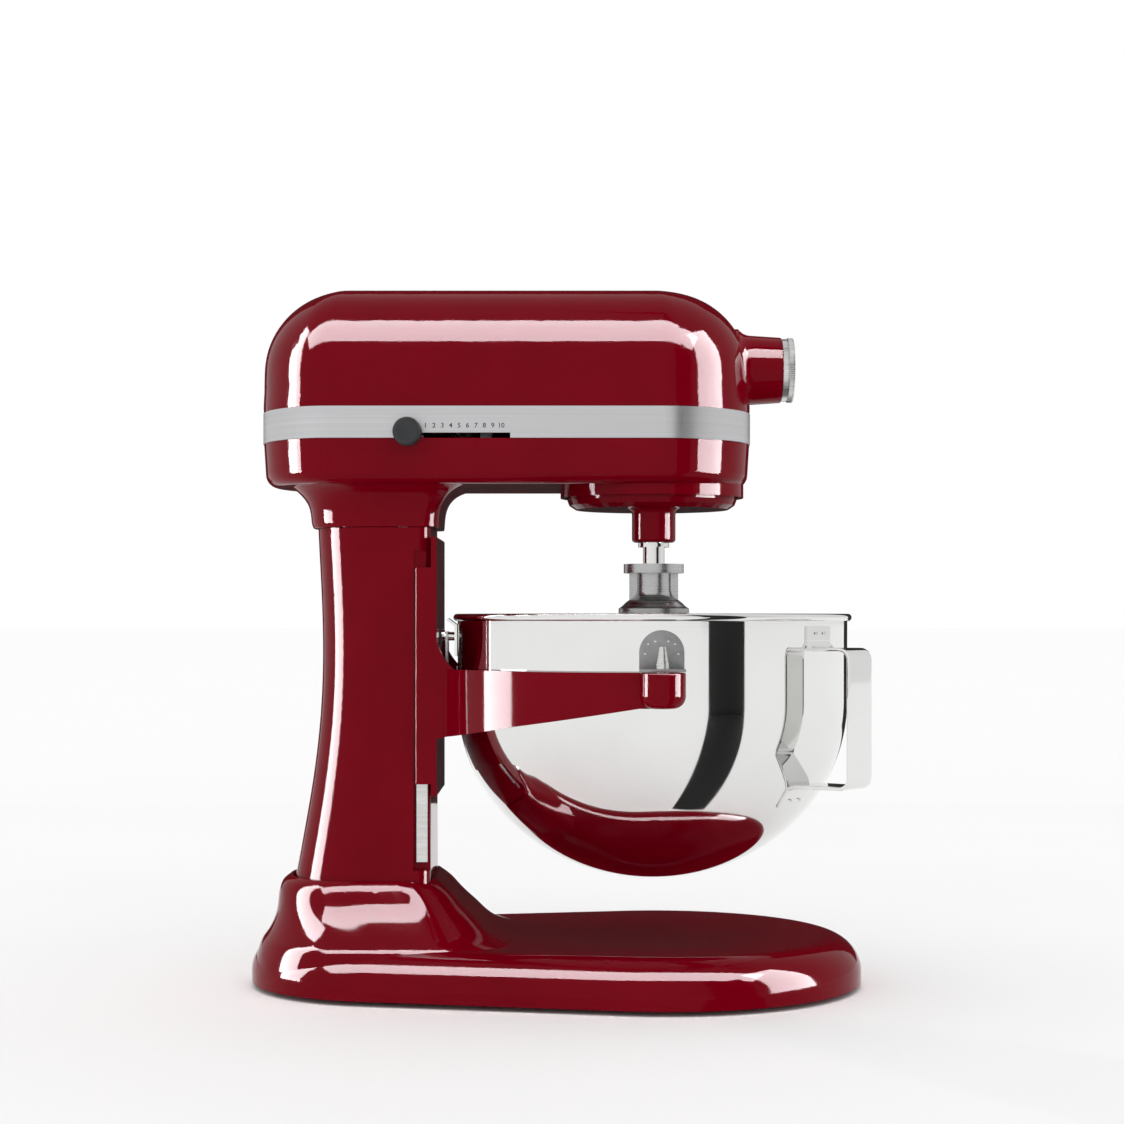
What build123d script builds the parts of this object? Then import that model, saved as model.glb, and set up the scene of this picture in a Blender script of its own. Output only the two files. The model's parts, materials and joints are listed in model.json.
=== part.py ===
from build123d import *
import os
from math import asin, cos, degrees, pi, radians, sin, sqrt, tan

# Stand mixer with a lifting bowl.  Millimetres, +Z up, +X towards the attachment hub.
# The origin is on the floor, under the middle of the whole machine.

# ---------------------------------------------------------------- driving dimensions
bowl_x = 58.2               # axis of the bowl and of the planetary drive
shell_wall = 4.0            # castings of the head

# base
base_rear_x = -95.0
base_rear_r = 90.0
base_front_x = 63.3
base_front_r = 121.7
base_underside = 3.0
base_top = 30.5
base_edge = 21.0            # rounding of the base's rim
base_wall = 6.0
dish_depth = 1.5
dish_radius = 1800.0
foot_r = 11.0
foot_height = 6.0
foot_places = [(-160, 0), (-95, 68), (-95, -68), (110, 78), (110, -78)]

# column
column_foot = 60.0
column_top = 276.0
column_front = -74.5
column_wall = 4.5
notch_bottom = 73.0
notch_top = 262.0
notch_back = -84.3
tongue_half = 40.0          # half-width of the column's front, which the slider runs on
column_bolt_places = [(-137, 22), (-137, -22), (-96, 30), (-96, -30)]
head_bolt_places = [(-126, 16), (-126, -16), (-92, 26), (-92, -26)]

# head
head_bottom = 301.0
band_bottom = 327.0
band_top = 345.8
band_thickness = 1.8
seam = 336.0                # where the top cover meets the lower housing, behind the band
head_top = 419.5
head_half = 64.0
head_rear_arc = 75.0
head_rear_centre = -103.2
head_front_arc = 66.0
head_front_centre = 51.9
head_corner = 30.0
motor_bed = 306.0           # floor that the motor stands on
gearcase_floor = 315.0      # floor of the gearcase, over the planetary drive
crown_radius = 50.0
draft_shift = 1.3

# attachment hub
hub_z = 373.2
hub_end = 136.4
hub_bore_r = 16.0
sleeve_bore_r = 12.9
sleeve_back = 100.0

# planetary drive
ring_teeth = 56
beater_teeth = 18
module = 1.5
beater_offset = module * (ring_teeth - beater_teeth) / 2
beater_shaft_r = 6.4
gear_low = 299.0
gear_high = 308.0
ring_low = 298.6
ring_high = 308.8
dish_top = 296.6
dish_bottom = 288.0
dish_r = 51.5
skirt_r = 55.7
beater_boss_r = 13.0
beater_boss_bottom = 267.2
planet_shaft_r = 8.0
running = 0.05              # radial clearance of a shaft in its bush

# drive train
centre_teeth = 62
cluster_teeth = 14
cluster_x = bowl_x - module * (centre_teeth + cluster_teeth) / 2
centre_gear_low = 322.0
centre_gear_high = 330.0
motor_z = 362.0
bevel_teeth = 40
motor_pinion_teeth = 12
mitre_teeth = 20
mitre_module = 1.7
cluster_shaft_r = 5.0

# bowl
bowl_r = 118.3
bowl_sheet = 1.2
bowl_depth = 107.3
bowl_spring_z = 172.0       # where the straight wall turns into the round bottom
bowl_rim_z = 222.5
bowl_flat_z = 65.6
handle_angle = -38.0        # round the bowl's axis, from +X

# bowl support and its lift
plate_front = -70.6
plate_back = -74.0
yoke_inner = 121.7
yoke_outer = 131.0
yoke_top = 192.0
cup_x = 59.0
cup_y = 130.2
cup_r = 12.8
cup_bottom = 172.0
lift_travel = 32.0
crank_r = lift_travel / sqrt(2)
lift_shaft_x = -100.0
lift_shaft_z = 190.0
crank_pin_r = 4.0

# speed lever
speed_knob_x = -86.3
speed_knob_z = 330.2
speed_travel = 54.0

os.makedirs("parts", exist_ok=True)
made = []


def keep(builder, name):
    """Label a finished piece and write its STEP file."""
    builder.part.label = name
    export_step(builder.part, f"parts/{name}.step")
    made.append(builder.part)


# ---------------------------------------------------------------- shared outlines
def head_outline(z, inset):
    """Plan outline of the head at height z, drawn in by inset all round."""
    half = head_half - inset
    rear_r = head_rear_arc - inset
    front_r = head_front_arc - inset
    rear_x = head_rear_centre - sqrt(rear_r**2 - half**2)
    front_x = head_front_centre + sqrt(front_r**2 - half**2)
    with BuildSketch(Plane.XY.offset(z)) as outline:
        with BuildLine():
            Line((rear_x, half), (front_x, half))
            ThreePointArc((front_x, half), (head_front_centre + front_r, 0), (front_x, -half))
            Line((front_x, -half), (rear_x, -half))
            ThreePointArc((rear_x, -half), (head_rear_centre - rear_r, 0), (rear_x, half))
        make_face()
        fillet(outline.vertices(), radius=head_corner * (half / head_half) ** 1.5)
    return outline.sketch


def column_outline(z, front, rear, half, front_r=8.0):
    """Plan outline of the column: flat in front, well rounded behind."""
    with BuildSketch(Plane.XY.offset(z)) as outline:
        with Locations(((front + rear) / 2, 0)):
            Rectangle(front - rear, 2 * half)
        fillet(outline.vertices().group_by(Axis.X)[0], radius=0.9 * half)
        fillet(outline.vertices().group_by(Axis.X)[-1], radius=front_r)
    return outline.sketch


def tooth_outline(teeth, size, thin=0.82, inward=False):
    """One straight-sided gear tooth on +X, as three pairs of radius and half-width."""
    pitch_r = size * teeth / 2
    half = size * pi / 4 * thin
    side = tan(radians(20)) * size
    if inward:
        return [
            (pitch_r - 0.9 * size, half - 0.9 * side), (pitch_r, half), (pitch_r + 1.3 * size, half + side),
        ]
    return [(pitch_r - 1.3 * size, half + side), (pitch_r, half), (pitch_r + 0.9 * size, half - 0.9 * side)]


def tooth_sketch(teeth, size, inward=False):
    """The section of one gear tooth, across the X axis."""
    points = tooth_outline(teeth, size, inward=inward)
    with BuildSketch() as tooth:
        with BuildLine():
            Polyline(points + [(x, -y) for x, y in reversed(points)], close=True)
        make_face()
    return tooth.sketch


def spur_gear(teeth, size, low, high, bore_r, turn=0.0, web=0.0):
    """A spur gear on the Z axis, with a tooth turned by turn from +X; web sinks a ring in its top face."""
    root_r = size * teeth / 2 - 1.2 * size
    tooth = tooth_sketch(teeth, size)
    with BuildPart() as gear:
        with BuildSketch(Plane.XY.offset(low)):
            Circle(root_r)
            with PolarLocations(0, teeth, start_angle=turn):
                add(tooth)
            Circle(bore_r, mode=Mode.SUBTRACT)
        extrude(amount=high - low)
        if web:
            with BuildSketch(Plane.XY.offset(high)):
                Circle(root_r - 4)
                Circle(bore_r + 6, mode=Mode.SUBTRACT)
            extrude(amount=-web, mode=Mode.SUBTRACT)
    return gear.part


def bevel_gear(teeth, mate_teeth, size, face, hub_r, hub_length, bore_r, turn=0.0):
    """A straight bevel gear on the Z axis, its pitch apex at the origin and its teeth facing up."""
    pitch_r = size * teeth / 2
    depth = size * mate_teeth / 2
    cone = sqrt(pitch_r**2 + depth**2)
    shrink = (cone - face) / cone
    along = Vector(pitch_r, 0, -depth) / cone
    root = 1.15 * size
    half = size * pi / 4 * 0.80
    side = tan(radians(20)) * size
    outer = (pitch_r - root * depth / cone, -depth - root * pitch_r / cone)
    inner = (outer[0] * shrink, outer[1] * shrink)
    low = outer[1] - hub_length
    with BuildPart() as tooth:
        for scale in (1.0, shrink):
            end = Plane(origin=along * cone * scale, x_dir=(0, 1, 0), z_dir=along)
            with BuildSketch(end):
                with BuildLine():
                    foot = (half + 1.4 * side) * scale
                    tip = (half - 0.8 * side) * scale
                    bottom = -1.4 * size * scale
                    top = 0.8 * size * scale
                    Polyline((-foot, bottom), (-tip, top), (tip, top), (foot, bottom), close=True)
                make_face()
        loft()
    with BuildPart() as gear:
        with BuildSketch(Plane.XZ):
            with BuildLine():
                Polyline(
                    (bore_r, inner[1]), inner, outer, (outer[0] - 0.5, outer[1] - 1.5),
                    (hub_r, outer[1] - 2.5), (hub_r, low), (bore_r, low), close=True,
                )
            make_face()
        revolve(axis=Axis.Z)
        with PolarLocations(0, teeth, start_angle=turn):
            add(tooth.part)
    return gear.part


def tube(low, high, outer_r, inner_r, centre=(0, 0)):
    """An upright sleeve."""
    with BuildPart() as sleeve:
        with BuildSketch(Plane.XY.offset(low)):
            with Locations(centre):
                Circle(outer_r)
                Circle(inner_r, mode=Mode.SUBTRACT)
        extrude(amount=high - low)
    return sleeve.part


def pan_screws(places, direction, shank_r, length, head_r, head_height):
    """Screws whose heads seat at places; direction is the way the shank points."""
    with BuildPart() as screws:
        for place in places:
            seat = Plane(origin=place, z_dir=direction)
            with BuildSketch(seat):
                Circle(shank_r)
            extrude(amount=length)
            with BuildSketch(seat):
                Circle(head_r)
            extrude(amount=-head_height)
            with BuildSketch(seat.offset(-head_height)):
                Rectangle(head_r * 1.3, head_r * 0.28)
                Rectangle(head_r * 0.28, head_r * 1.3)
            extrude(amount=head_height * 0.5, mode=Mode.SUBTRACT)
    return screws.part


# ---------------------------------------------------------------- base and column
collar = [
    (12, -21, -181.6, 82.5),
    (21, -21, -180.6, 82.3),
    (29.5, -23, -177.6, 80.5),
    (35, -38, -173.8, 75),
    (41, -45.5, -170.8, 69),
    (50, -54.5, -168.6, 61),
    (58, -62, -167.8, 56.5),
    (64, -68, -165.5, 53.5),
    (67, -72, -161.8, 50.5),
]

with BuildPart() as base_casting:
    with BuildSketch(Plane.XY.offset(base_underside)):
        with Locations((base_rear_x, 0)):
            Circle(base_rear_r)
        with Locations((base_front_x, 0)):
            Circle(base_front_r)
        make_hull()
    extrude(amount=base_top - base_underside)
    fillet(base_casting.faces().sort_by(Axis.Z)[-1].edges(), radius=base_edge)
    # shallow dish under the bowl
    with Locations((bowl_x, 0, base_top - dish_depth + dish_radius)):
        Sphere(dish_radius, mode=Mode.SUBTRACT)
    for z, front, rear, half in collar:
        add(column_outline(z, front, rear, half, front_r=0.45 * half))
    loft()
    # hollow underneath, with a closed skin all round
    with BuildSketch(Plane.XY.offset(base_underside)):
        with Locations((base_rear_x, 0)):
            Circle(base_rear_r - base_edge)
        with Locations((base_front_x, 0)):
            Circle(base_front_r - base_edge)
        make_hull()
    extrude(amount=base_top - base_wall - base_underside, mode=Mode.SUBTRACT)
    add(column_outline(base_top - base_wall, column_front - 5, -152.0, 40.0))
    extrude(amount=column_foot - 6 - base_top + base_wall, mode=Mode.SUBTRACT)
    # bosses that hold the feet
    with BuildSketch(Plane.XY.offset(foot_height)):
        with Locations(*foot_places):
            Circle(foot_r + 3)
    extrude(amount=base_top - base_wall - foot_height + 1)
    # recesses that the feet stand in
    with BuildSketch(Plane.XY.offset(base_underside)):
        with Locations(*foot_places):
            Circle(foot_r + 0.3)
    extrude(amount=foot_height - base_underside, mode=Mode.SUBTRACT)
    # socket for the column's foot
    add(column_outline(column_foot, column_front + 0.3, -159.9, 47.9))
    extrude(amount=20, mode=Mode.SUBTRACT)
    with Locations(*[(x, y, column_foot) for x, y in column_bolt_places]):
        Hole(3.3)
    with Locations(*[(x, y, foot_height) for x, y in foot_places]):
        Hole(2.45, depth=14)
keep(base_casting, "base_casting")

with BuildPart() as rubber_feet:
    with BuildSketch():
        with Locations(*foot_places):
            Circle(foot_r)
            Circle(2.45, mode=Mode.SUBTRACT)
    extrude(amount=foot_height)
    with BuildSketch():
        with Locations(*foot_places):
            Circle(5.2)
    extrude(amount=3, mode=Mode.SUBTRACT)
    fillet(rubber_feet.edges().filter_by(GeomType.CIRCLE).filter_by(lambda e: e.radius > 10), radius=1.2)
keep(rubber_feet, "rubber_feet")

with BuildPart() as foot_screws:
    add(pan_screws([(x, y, 3) for x, y in foot_places], (0, 0, 1), 2.4, 14, 4.5, 2.0))
keep(foot_screws, "foot_screws")

column_rows = [
    (column_foot, -159.3, 47.4),
    (100, -151.8, 43.6),
    (145, -145.0, 41.0),
    (205, -141.8, 40.0),
    (column_top, -144.6, 40.0),
]
with BuildPart() as column_casting:
    for z, rear, half in column_rows:
        add(column_outline(z, column_front, rear, half))
    loft()
    # hollow, with a floor and a top plate for its bolts
    add(column_outline(column_foot + 8, column_front - column_wall, -137.2, 35.4, 5.0))
    extrude(amount=column_top - column_foot - 16, mode=Mode.SUBTRACT)
    # steps beside the front, where the rails and the slider's cheeks run
    for side in (-1, 1):
        with BuildSketch(Plane.XY.offset(notch_bottom)):
            with Locations(((notch_back + column_front + 8) / 2, side * (tongue_half - 1.6 + 10))):
                Rectangle(column_front - notch_back + 8, 20)
        extrude(amount=notch_top - notch_bottom, mode=Mode.SUBTRACT)
    # window for the lifting tab, and the bore of the lift shaft
    with BuildSketch(Plane.YZ.offset(column_front - column_wall - 1)):
        with Locations((15, lift_shaft_z)):
            SlotOverall(66, 12, rotation=90)
    extrude(amount=column_wall + 2, mode=Mode.SUBTRACT)
    with BuildSketch(Plane.XZ.offset(-60)):
        with Locations((lift_shaft_x, lift_shaft_z)):
            Circle(9.0)
    extrude(amount=40, mode=Mode.SUBTRACT)
    with Locations(*[(x, y, column_foot + 10) for x, y in column_bolt_places]):
        Hole(2.9, depth=12)
    with Locations(*[(x, y, column_top) for x, y in head_bolt_places]):
        Hole(3.3, depth=10)
keep(column_casting, "column_casting")

with BuildPart() as column_bolts:
    add(pan_screws([(x, y, column_foot - 6) for x, y in column_bolt_places], (0, 0, 1), 2.85, 15, 5.5, 3.0))
keep(column_bolts, "column_bolts")

rail_y = tongue_half - 1.6
with BuildPart() as guide_rails:
    for side in (-1, 1):
        with BuildSketch(Plane.XY.offset(notch_bottom + 4.6)):
            with Locations((-79.5, side * (rail_y + 1.1))):
                Rectangle(6.5, 2.0)
        extrude(amount=notch_top - notch_bottom - 20)
keep(guide_rails, "guide_rails")

# ---------------------------------------------------------------- head
neck_rows = [
    (column_top + 0.3, -69.9, -147.3, 40.5),
    (283.5, -69.3, -149.0, 41.0),
    (292, -67.0, -151.5, 43.0),
    (297, -62.9, -155.5, 46.5),
    (300, -57.6, -159.0, 50.5),
    (302.5, -46.0, -164.0, 56.0),
]
with BuildPart() as head_housing:
    add(head_outline(head_bottom, draft_shift * 1.6))
    add(head_outline(band_bottom, 0.5))
    loft()
    fillet(head_housing.faces().sort_by(Axis.Z)[0].edges(), radius=8)
    add(head_outline(band_bottom, band_thickness + 0.2))
    extrude(amount=seam - band_bottom)
    for z, front, rear, half in neck_rows:
        add(column_outline(z, front, rear, half, front_r=12))
    loft()
    # round skirt of the gearcase
    with BuildSketch(Plane.XY.offset(295)):
        with Locations((bowl_x, 0)):
            Circle(skirt_r)
    extrude(amount=14)
    fillet(head_housing.faces().sort_by(Axis.Z)[0:1].edges(), radius=0.5)
    # motor bed, gearcase floor and the hollow of the neck
    add(head_outline(motor_bed + 9, 6.0))
    extrude(amount=seam - motor_bed, mode=Mode.SUBTRACT)
    with BuildSketch(Plane.XY.offset(motor_bed)):
        with Locations((-85, 0)):
            RectangleRounded(150, 100, 12)
        with Locations((-150, 0)):
            RectangleRounded(32, 52, 5)
    extrude(amount=10, mode=Mode.SUBTRACT)
    add(column_outline(column_top + 8, -78, -140, 33, 6))
    extrude(amount=24, mode=Mode.SUBTRACT)
    with Locations(*[(x, y, column_top + 9) for x, y in head_bolt_places]):
        Hole(2.9, depth=10)
    # recess for the ring gear, and the bores of the two upright shafts
    with BuildSketch(Plane.XY.offset(294)):
        with Locations((bowl_x, 0)):
            Circle(dish_r + 0.8)
    extrude(amount=dish_top + 1.4 - 294, mode=Mode.SUBTRACT)
    with BuildSketch(Plane.XY.offset(294)):
        with Locations((bowl_x, 0)):
            Circle(48.5)
    extrude(amount=ring_high - 294, mode=Mode.SUBTRACT)
    with BuildSketch(Plane.XY.offset(294)):
        with Locations((bowl_x, 0)):
            Circle(12)
    extrude(amount=30, mode=Mode.SUBTRACT)
    with BuildSketch(Plane.XY.offset(309)):
        with Locations((cluster_x, 0)):
            Circle(8)
    extrude(amount=10, mode=Mode.SUBTRACT)
    # slot of the speed lever
    with BuildSketch(Plane.XY.offset(band_bottom)):
        with Locations((-59.2, -62)):
            Rectangle(65, 12)
    extrude(amount=3.1, mode=Mode.SUBTRACT)
    # bore for the cord bushing
    with BuildSketch(Plane.YZ.offset(-185)):
        with Locations((20, 318)):
            Circle(6.5)
    extrude(amount=25, mode=Mode.SUBTRACT)
keep(head_housing, "head_housing")

with BuildPart() as head_bolts:
    add(pan_screws([(x, y, column_top - 8) for x, y in head_bolt_places], (0, 0, 1), 2.85, 16, 5.5, 3.0))
keep(head_bolts, "head_bolts")


def crown(inset):
    """Rows of height and inset from the band up over the rounded top of the head."""
    centre = head_top - crown_radius
    rows = [(band_top, 0.4), ((band_top + centre) / 2, 0.55)]
    for angle in (0, 15, 30, 45, 60, 75, 90):
        out = crown_radius - inset
        rows.append((centre + out * sin(radians(angle)), 0.8 + out * (1 - cos(radians(angle)))))
    return [(z, d + inset) for z, d in rows]


with BuildPart() as top_cover:
    for z, inset in crown(0):
        add(head_outline(z, inset))
    loft()
    # boss of the attachment hub
    with BuildSketch(Plane.XZ):
        with BuildLine():
            flare = (118.5, hub_z + 21.0)
            Polyline((90, hub_z), (90, hub_z + 25), (110.5, hub_z + 25))
            ThreePointArc((110.5, hub_z + 25), (114.0, hub_z + 22.1), flare)
            Polyline(flare, (hub_end, hub_z + 19.8), (hub_end, hub_z), (90, hub_z))
        make_face()
    revolve(axis=Axis((0, 0, hub_z), (1, 0, 0)))
    # hollow
    for z, inset in crown(shell_wall):
        add(head_outline(z - (2 if z < band_top + 1 else 0), inset))
    loft(mode=Mode.SUBTRACT)
    with BuildSketch(Plane.YZ.offset(80)):
        with Locations((0, hub_z)):
            Circle(hub_bore_r)
    extrude(amount=70, mode=Mode.SUBTRACT)
    # lip that drops behind the band onto the lower housing
    with BuildSketch(Plane.XY.offset(seam + 0.1)):
        add(head_outline(seam + 0.1, band_thickness + 0.2))
        add(head_outline(seam + 0.1, 6.0), mode=Mode.SUBTRACT)
    extrude(amount=band_top - seam)
    # bore for the hub's thumb screw
    with BuildSketch(Plane.XZ.offset(-40)):
        with Locations((127, hub_z)):
            Circle(3.1)
    extrude(amount=30, mode=Mode.SUBTRACT)
keep(top_cover, "top_cover")

with BuildPart() as trim_band:
    with BuildSketch(Plane.XY.offset(band_bottom + 0.1)):
        add(head_outline(band_bottom + 0.1, 0))
        add(head_outline(band_bottom + 0.1, band_thickness), mode=Mode.SUBTRACT)
    extrude(amount=band_top - band_bottom - 0.2)
    with BuildSketch(Plane.XY.offset(band_bottom)):
        with Locations((-59.2, -62)):
            Rectangle(65, 12)
    extrude(amount=3.1, mode=Mode.SUBTRACT)
keep(trim_band, "trim_band")

# ---------------------------------------------------------------- fixed pieces inside the head
ring_tooth = tooth_sketch(ring_teeth, module, inward=True)
with BuildPart() as ring_gear:
    with BuildSketch(Plane.XY.offset(ring_low)):
        with Locations((bowl_x, 0)):
            Circle(48.5)
            Circle(module * ring_teeth / 2 + 1.2 * module, mode=Mode.SUBTRACT)
            with PolarLocations(0, ring_teeth):
                add(ring_tooth)
    extrude(amount=ring_high - ring_low)
keep(ring_gear, "ring_gear")

with BuildPart() as shaft_bushes:
    add(tube(ring_high + 0.2, 320.0, 12.0, planet_shaft_r + running, (bowl_x, 0)))
    add(tube(310.0, 320.0, 8.0, cluster_shaft_r + running, (cluster_x, 0)))
    with BuildSketch(Plane.XZ.offset(-31)):
        with Locations((lift_shaft_x, lift_shaft_z)):
            Circle(9.0)
            Circle(6.5 + running, mode=Mode.SUBTRACT)
    extrude(amount=-12)
keep(shaft_bushes, "shaft_bushes")

with BuildPart() as hub_sleeve:
    with BuildSketch(Plane.YZ.offset(sleeve_back)):
        with Locations((0, hub_z)):
            Circle(hub_bore_r)
            Circle(sleeve_bore_r, mode=Mode.SUBTRACT)
    extrude(amount=hub_end - sleeve_back)
    with BuildSketch(Plane.YZ.offset(sleeve_back)):
        with Locations((0, hub_z)):
            Circle(hub_bore_r)
            Circle(7.0 + running, mode=Mode.SUBTRACT)
    extrude(amount=-9)
    with BuildSketch(Plane.XZ.offset(-30)):
        with Locations((127, hub_z)):
            Circle(3.1)
    extrude(amount=20, mode=Mode.SUBTRACT)
keep(hub_sleeve, "hub_sleeve")


def gear_bridge(x, leg_y, leg_thick, width, top, bar, bore_r):
    """An arch over the gears, standing on the gearcase floor, with a bush hole in its bar."""
    with BuildPart() as bridge:
        with BuildSketch(Plane.YZ.offset(x - width / 2)):
            with Locations((0, (gearcase_floor + top) / 2)):
                RectangleRounded(2 * (leg_y + leg_thick), top - gearcase_floor, 3)
            with Locations((0, (gearcase_floor + top - bar) / 2)):
                Rectangle(2 * leg_y, top - bar - gearcase_floor, mode=Mode.SUBTRACT)
        extrude(amount=width)
        with Locations((x, 0, top)):
            Hole(bore_r)
    return bridge.part


with BuildPart() as cluster_bridge:
    add(gear_bridge(cluster_x, 50.5, 4.5, 13, 352.0 + 13.5, 4.5, cluster_shaft_r - 1 + running))
keep(cluster_bridge, "cluster_bridge")

with BuildPart() as planet_bridge:
    add(gear_bridge(bowl_x, 50.5, 4.5, 20, 341.0, 6.0, planet_shaft_r + running))
keep(planet_bridge, "planet_bridge")

field_rear = -132.0
field_front = -74.0
field_r = 41.0
armature_r = 25.6
with BuildPart() as field_core:
    with BuildSketch(Plane.YZ.offset(field_rear)):
        with Locations((0, motor_z)):
            Circle(field_r)
            Circle(34.0, mode=Mode.SUBTRACT)
            with PolarLocations(0, 2, start_angle=90):
                with Locations((31, 0)):
                    Rectangle(10, 26)
            Circle(armature_r + 0.7, mode=Mode.SUBTRACT)
    extrude(amount=field_front - field_rear)
keep(field_core, "field_core")

with BuildPart() as field_coils:
    with BuildSketch(Plane.YZ.offset(field_rear - 9)):
        with Locations((0, motor_z)):
            Circle(33.4)
            Circle(27.2, mode=Mode.SUBTRACT)
            Rectangle(80, 12, mode=Mode.SUBTRACT)
    extrude(amount=field_front - field_rear + 18)
    with BuildSketch(Plane.YZ.offset(field_rear - 0.5)):
        with Locations((0, motor_z)):
            with PolarLocations(0, 2, start_angle=90):
                with Locations((31, 0)):
                    Rectangle(12, 27.5)
    extrude(amount=field_front - field_rear + 1, mode=Mode.SUBTRACT)
keep(field_coils, "field_coils")

rear_bearing_x = -163.5
front_bearing_x = -46.0
with BuildPart() as motor_brackets:
    for x, reach in ((rear_bearing_x, 5.0), (front_bearing_x, 7.0)):
        with BuildSketch(Plane.YZ.offset(x)):
            with Locations((0, motor_z)):
                Circle(13)
            with Locations((0, (motor_bed + motor_z) / 2)):
                Rectangle(20, motor_z - motor_bed)
            with Locations((0, motor_bed + 2.5)):
                Rectangle(44, 5)
            with Locations((0, motor_z)):
                Circle(8.0, mode=Mode.SUBTRACT)
        extrude(amount=reach)
keep(motor_brackets, "motor_brackets")

with BuildPart() as motor_bearings:
    for x, reach in ((rear_bearing_x, 5.0), (front_bearing_x, 7.0)):
        with BuildSketch(Plane.YZ.offset(x)):
            with Locations((0, motor_z)):
                Circle(8.0)
                Circle(4.0 + running, mode=Mode.SUBTRACT)
        extrude(amount=reach)
keep(motor_bearings, "motor_bearings")

brush_x = -151.0
with BuildPart() as brush_holders:
    for side in (-1, 1):
        with Locations((brush_x, side * 24, motor_z)):
            Box(11, 18, 9)
            Box(6.1, 20, 5.1, mode=Mode.SUBTRACT)
        with Locations((brush_x, side * 24, (motor_bed + motor_z - 4.5) / 2)):
            Box(8, 5, motor_z - 4.5 - motor_bed)
keep(brush_holders, "brush_holders")

with BuildPart() as carbon_brushes:
    for side in (-1, 1):
        with Locations((brush_x, side * 18.6, motor_z)):
            Box(6, 14, 5)
keep(carbon_brushes, "carbon_brushes")

with BuildPart() as control_board:
    with Locations((-110, 53, 340)):
        Box(70, 1.6, 44)
    for x, z, size in ((-130, 345, 12), (-112, 332, 9), (-95, 350, 7)):
        with Locations((x, 53 - 0.8 - size / 4, z)):
            Box(size, size / 2, size)
keep(control_board, "control_board")


guide_y = -44.0
guide_z = 321.0
with BuildPart() as speed_guide:
    with BuildSketch(Plane.YZ.offset(-112)):
        with Locations((guide_y, guide_z)):
            Circle(2.0)
    extrude(amount=94)
    for x in (-114, -20):
        with BuildSketch(Plane.YZ.offset(x)):
            with Locations((guide_y, (motor_bed + guide_z + 4) / 2)):
                Rectangle(8, guide_z + 4 - motor_bed)
        extrude(amount=4)
keep(speed_guide, "speed_guide")

with BuildPart() as cord_bushing:
    with BuildSketch(Plane.YZ.offset(-175.4)):
        with Locations((20, 318)):
            Circle(6.5)
            Circle(3.6, mode=Mode.SUBTRACT)
    extrude(amount=9)
keep(cord_bushing, "cord_bushing")

# ---------------------------------------------------------------- speed lever
with BuildPart() as speed_knob:
    with BuildSketch(Plane.XZ.offset(65.2)):
        with Locations((speed_knob_x, speed_knob_z)):
            Circle(8.3)
    extrude(amount=10.6)
    fillet(speed_knob.faces().sort_by(Axis.Y)[0].edges(), radius=2.2)
    with BuildSketch(Plane.XZ.offset(65)):
        with Locations((speed_knob_x, 328.55)):
            Rectangle(7.0, 2.2)
    extrude(amount=5, mode=Mode.SUBTRACT)
keep(speed_knob, "speed_knob")

with BuildPart() as speed_link:
    with BuildSketch(Plane.XY.offset(327.45)):
        with Locations((speed_knob_x, -56)):
            Rectangle(7.0, 28)
        with Locations((speed_knob_x, guide_y)):
            Rectangle(16, 9)
    extrude(amount=2.2)
    with Locations((speed_knob_x, guide_y, guide_z)):
        Box(12, 7.5, 12.9)
    with BuildSketch(Plane.YZ.offset(speed_knob_x - 10)):
        with Locations((guide_y, guide_z)):
            Circle(2.0 + running)
    extrude(amount=20, mode=Mode.SUBTRACT)
keep(speed_link, "speed_link")

# ---------------------------------------------------------------- planetary drive
with BuildPart() as planet_dish:
    with BuildSketch(Plane.XZ):
        with BuildLine():
            Polyline(
                (0, dish_top), (dish_r, dish_top), (dish_r, 293.5), (dish_r - 1.2, 290.5),
                (dish_r - 5, dish_bottom), (0, dish_bottom), close=True,
            )
        make_face()
    revolve(axis=Axis.Z)
    with BuildSketch(Plane.XY.offset(dish_bottom + 2)):
        with Locations((0, -beater_offset)):
            Circle(beater_boss_r)
    extrude(amount=-(dish_bottom + 2 - beater_boss_bottom))
    fillet(planet_dish.faces().sort_by(Axis.Z)[0].edges(), radius=2)
    circles = planet_dish.edges().filter_by(GeomType.CIRCLE)
    boss_root = circles.filter_by(lambda e: abs(e.radius - beater_boss_r) < 0.01).sort_by(Axis.Z)[-1]
    fillet(boss_root, radius=4.5)
    with Locations((0, -beater_offset, dish_top)):
        Hole(9.0)
    with Locations((0, 0, dish_top)):
        Hole(planet_shaft_r)
planet_dish.part = planet_dish.part.moved(Location((bowl_x, 0, 0)))
keep(planet_dish, "planet_dish")

with BuildPart() as beater_bushes:
    add(tube(267.4, 277.0, 9.0, beater_shaft_r + running, (bowl_x, -beater_offset)))
    add(tube(286.0, dish_top, 9.0, beater_shaft_r + running, (bowl_x, -beater_offset)))
keep(beater_bushes, "beater_bushes")

planet_shaft_top = 362.0
with BuildPart() as planet_shaft:
    with BuildSketch(Plane.XY.offset(dish_bottom)):
        with Locations((bowl_x, 0)):
            Circle(planet_shaft_r)
    extrude(amount=planet_shaft_top - 16 - dish_bottom)
    with BuildSketch(Plane.XY.offset(planet_shaft_top - 16)):
        with Locations((bowl_x, 0)):
            Circle(5)
    extrude(amount=14.5)
keep(planet_shaft, "planet_shaft")

with BuildPart() as centre_gear:
    phase = 180 + 180 / centre_teeth
    add(spur_gear(centre_teeth, module, centre_gear_low, centre_gear_high, planet_shaft_r, phase, 1.5))
centre_gear.part = centre_gear.part.moved(Location((bowl_x, 0, 0)))
keep(centre_gear, "centre_gear")

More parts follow.
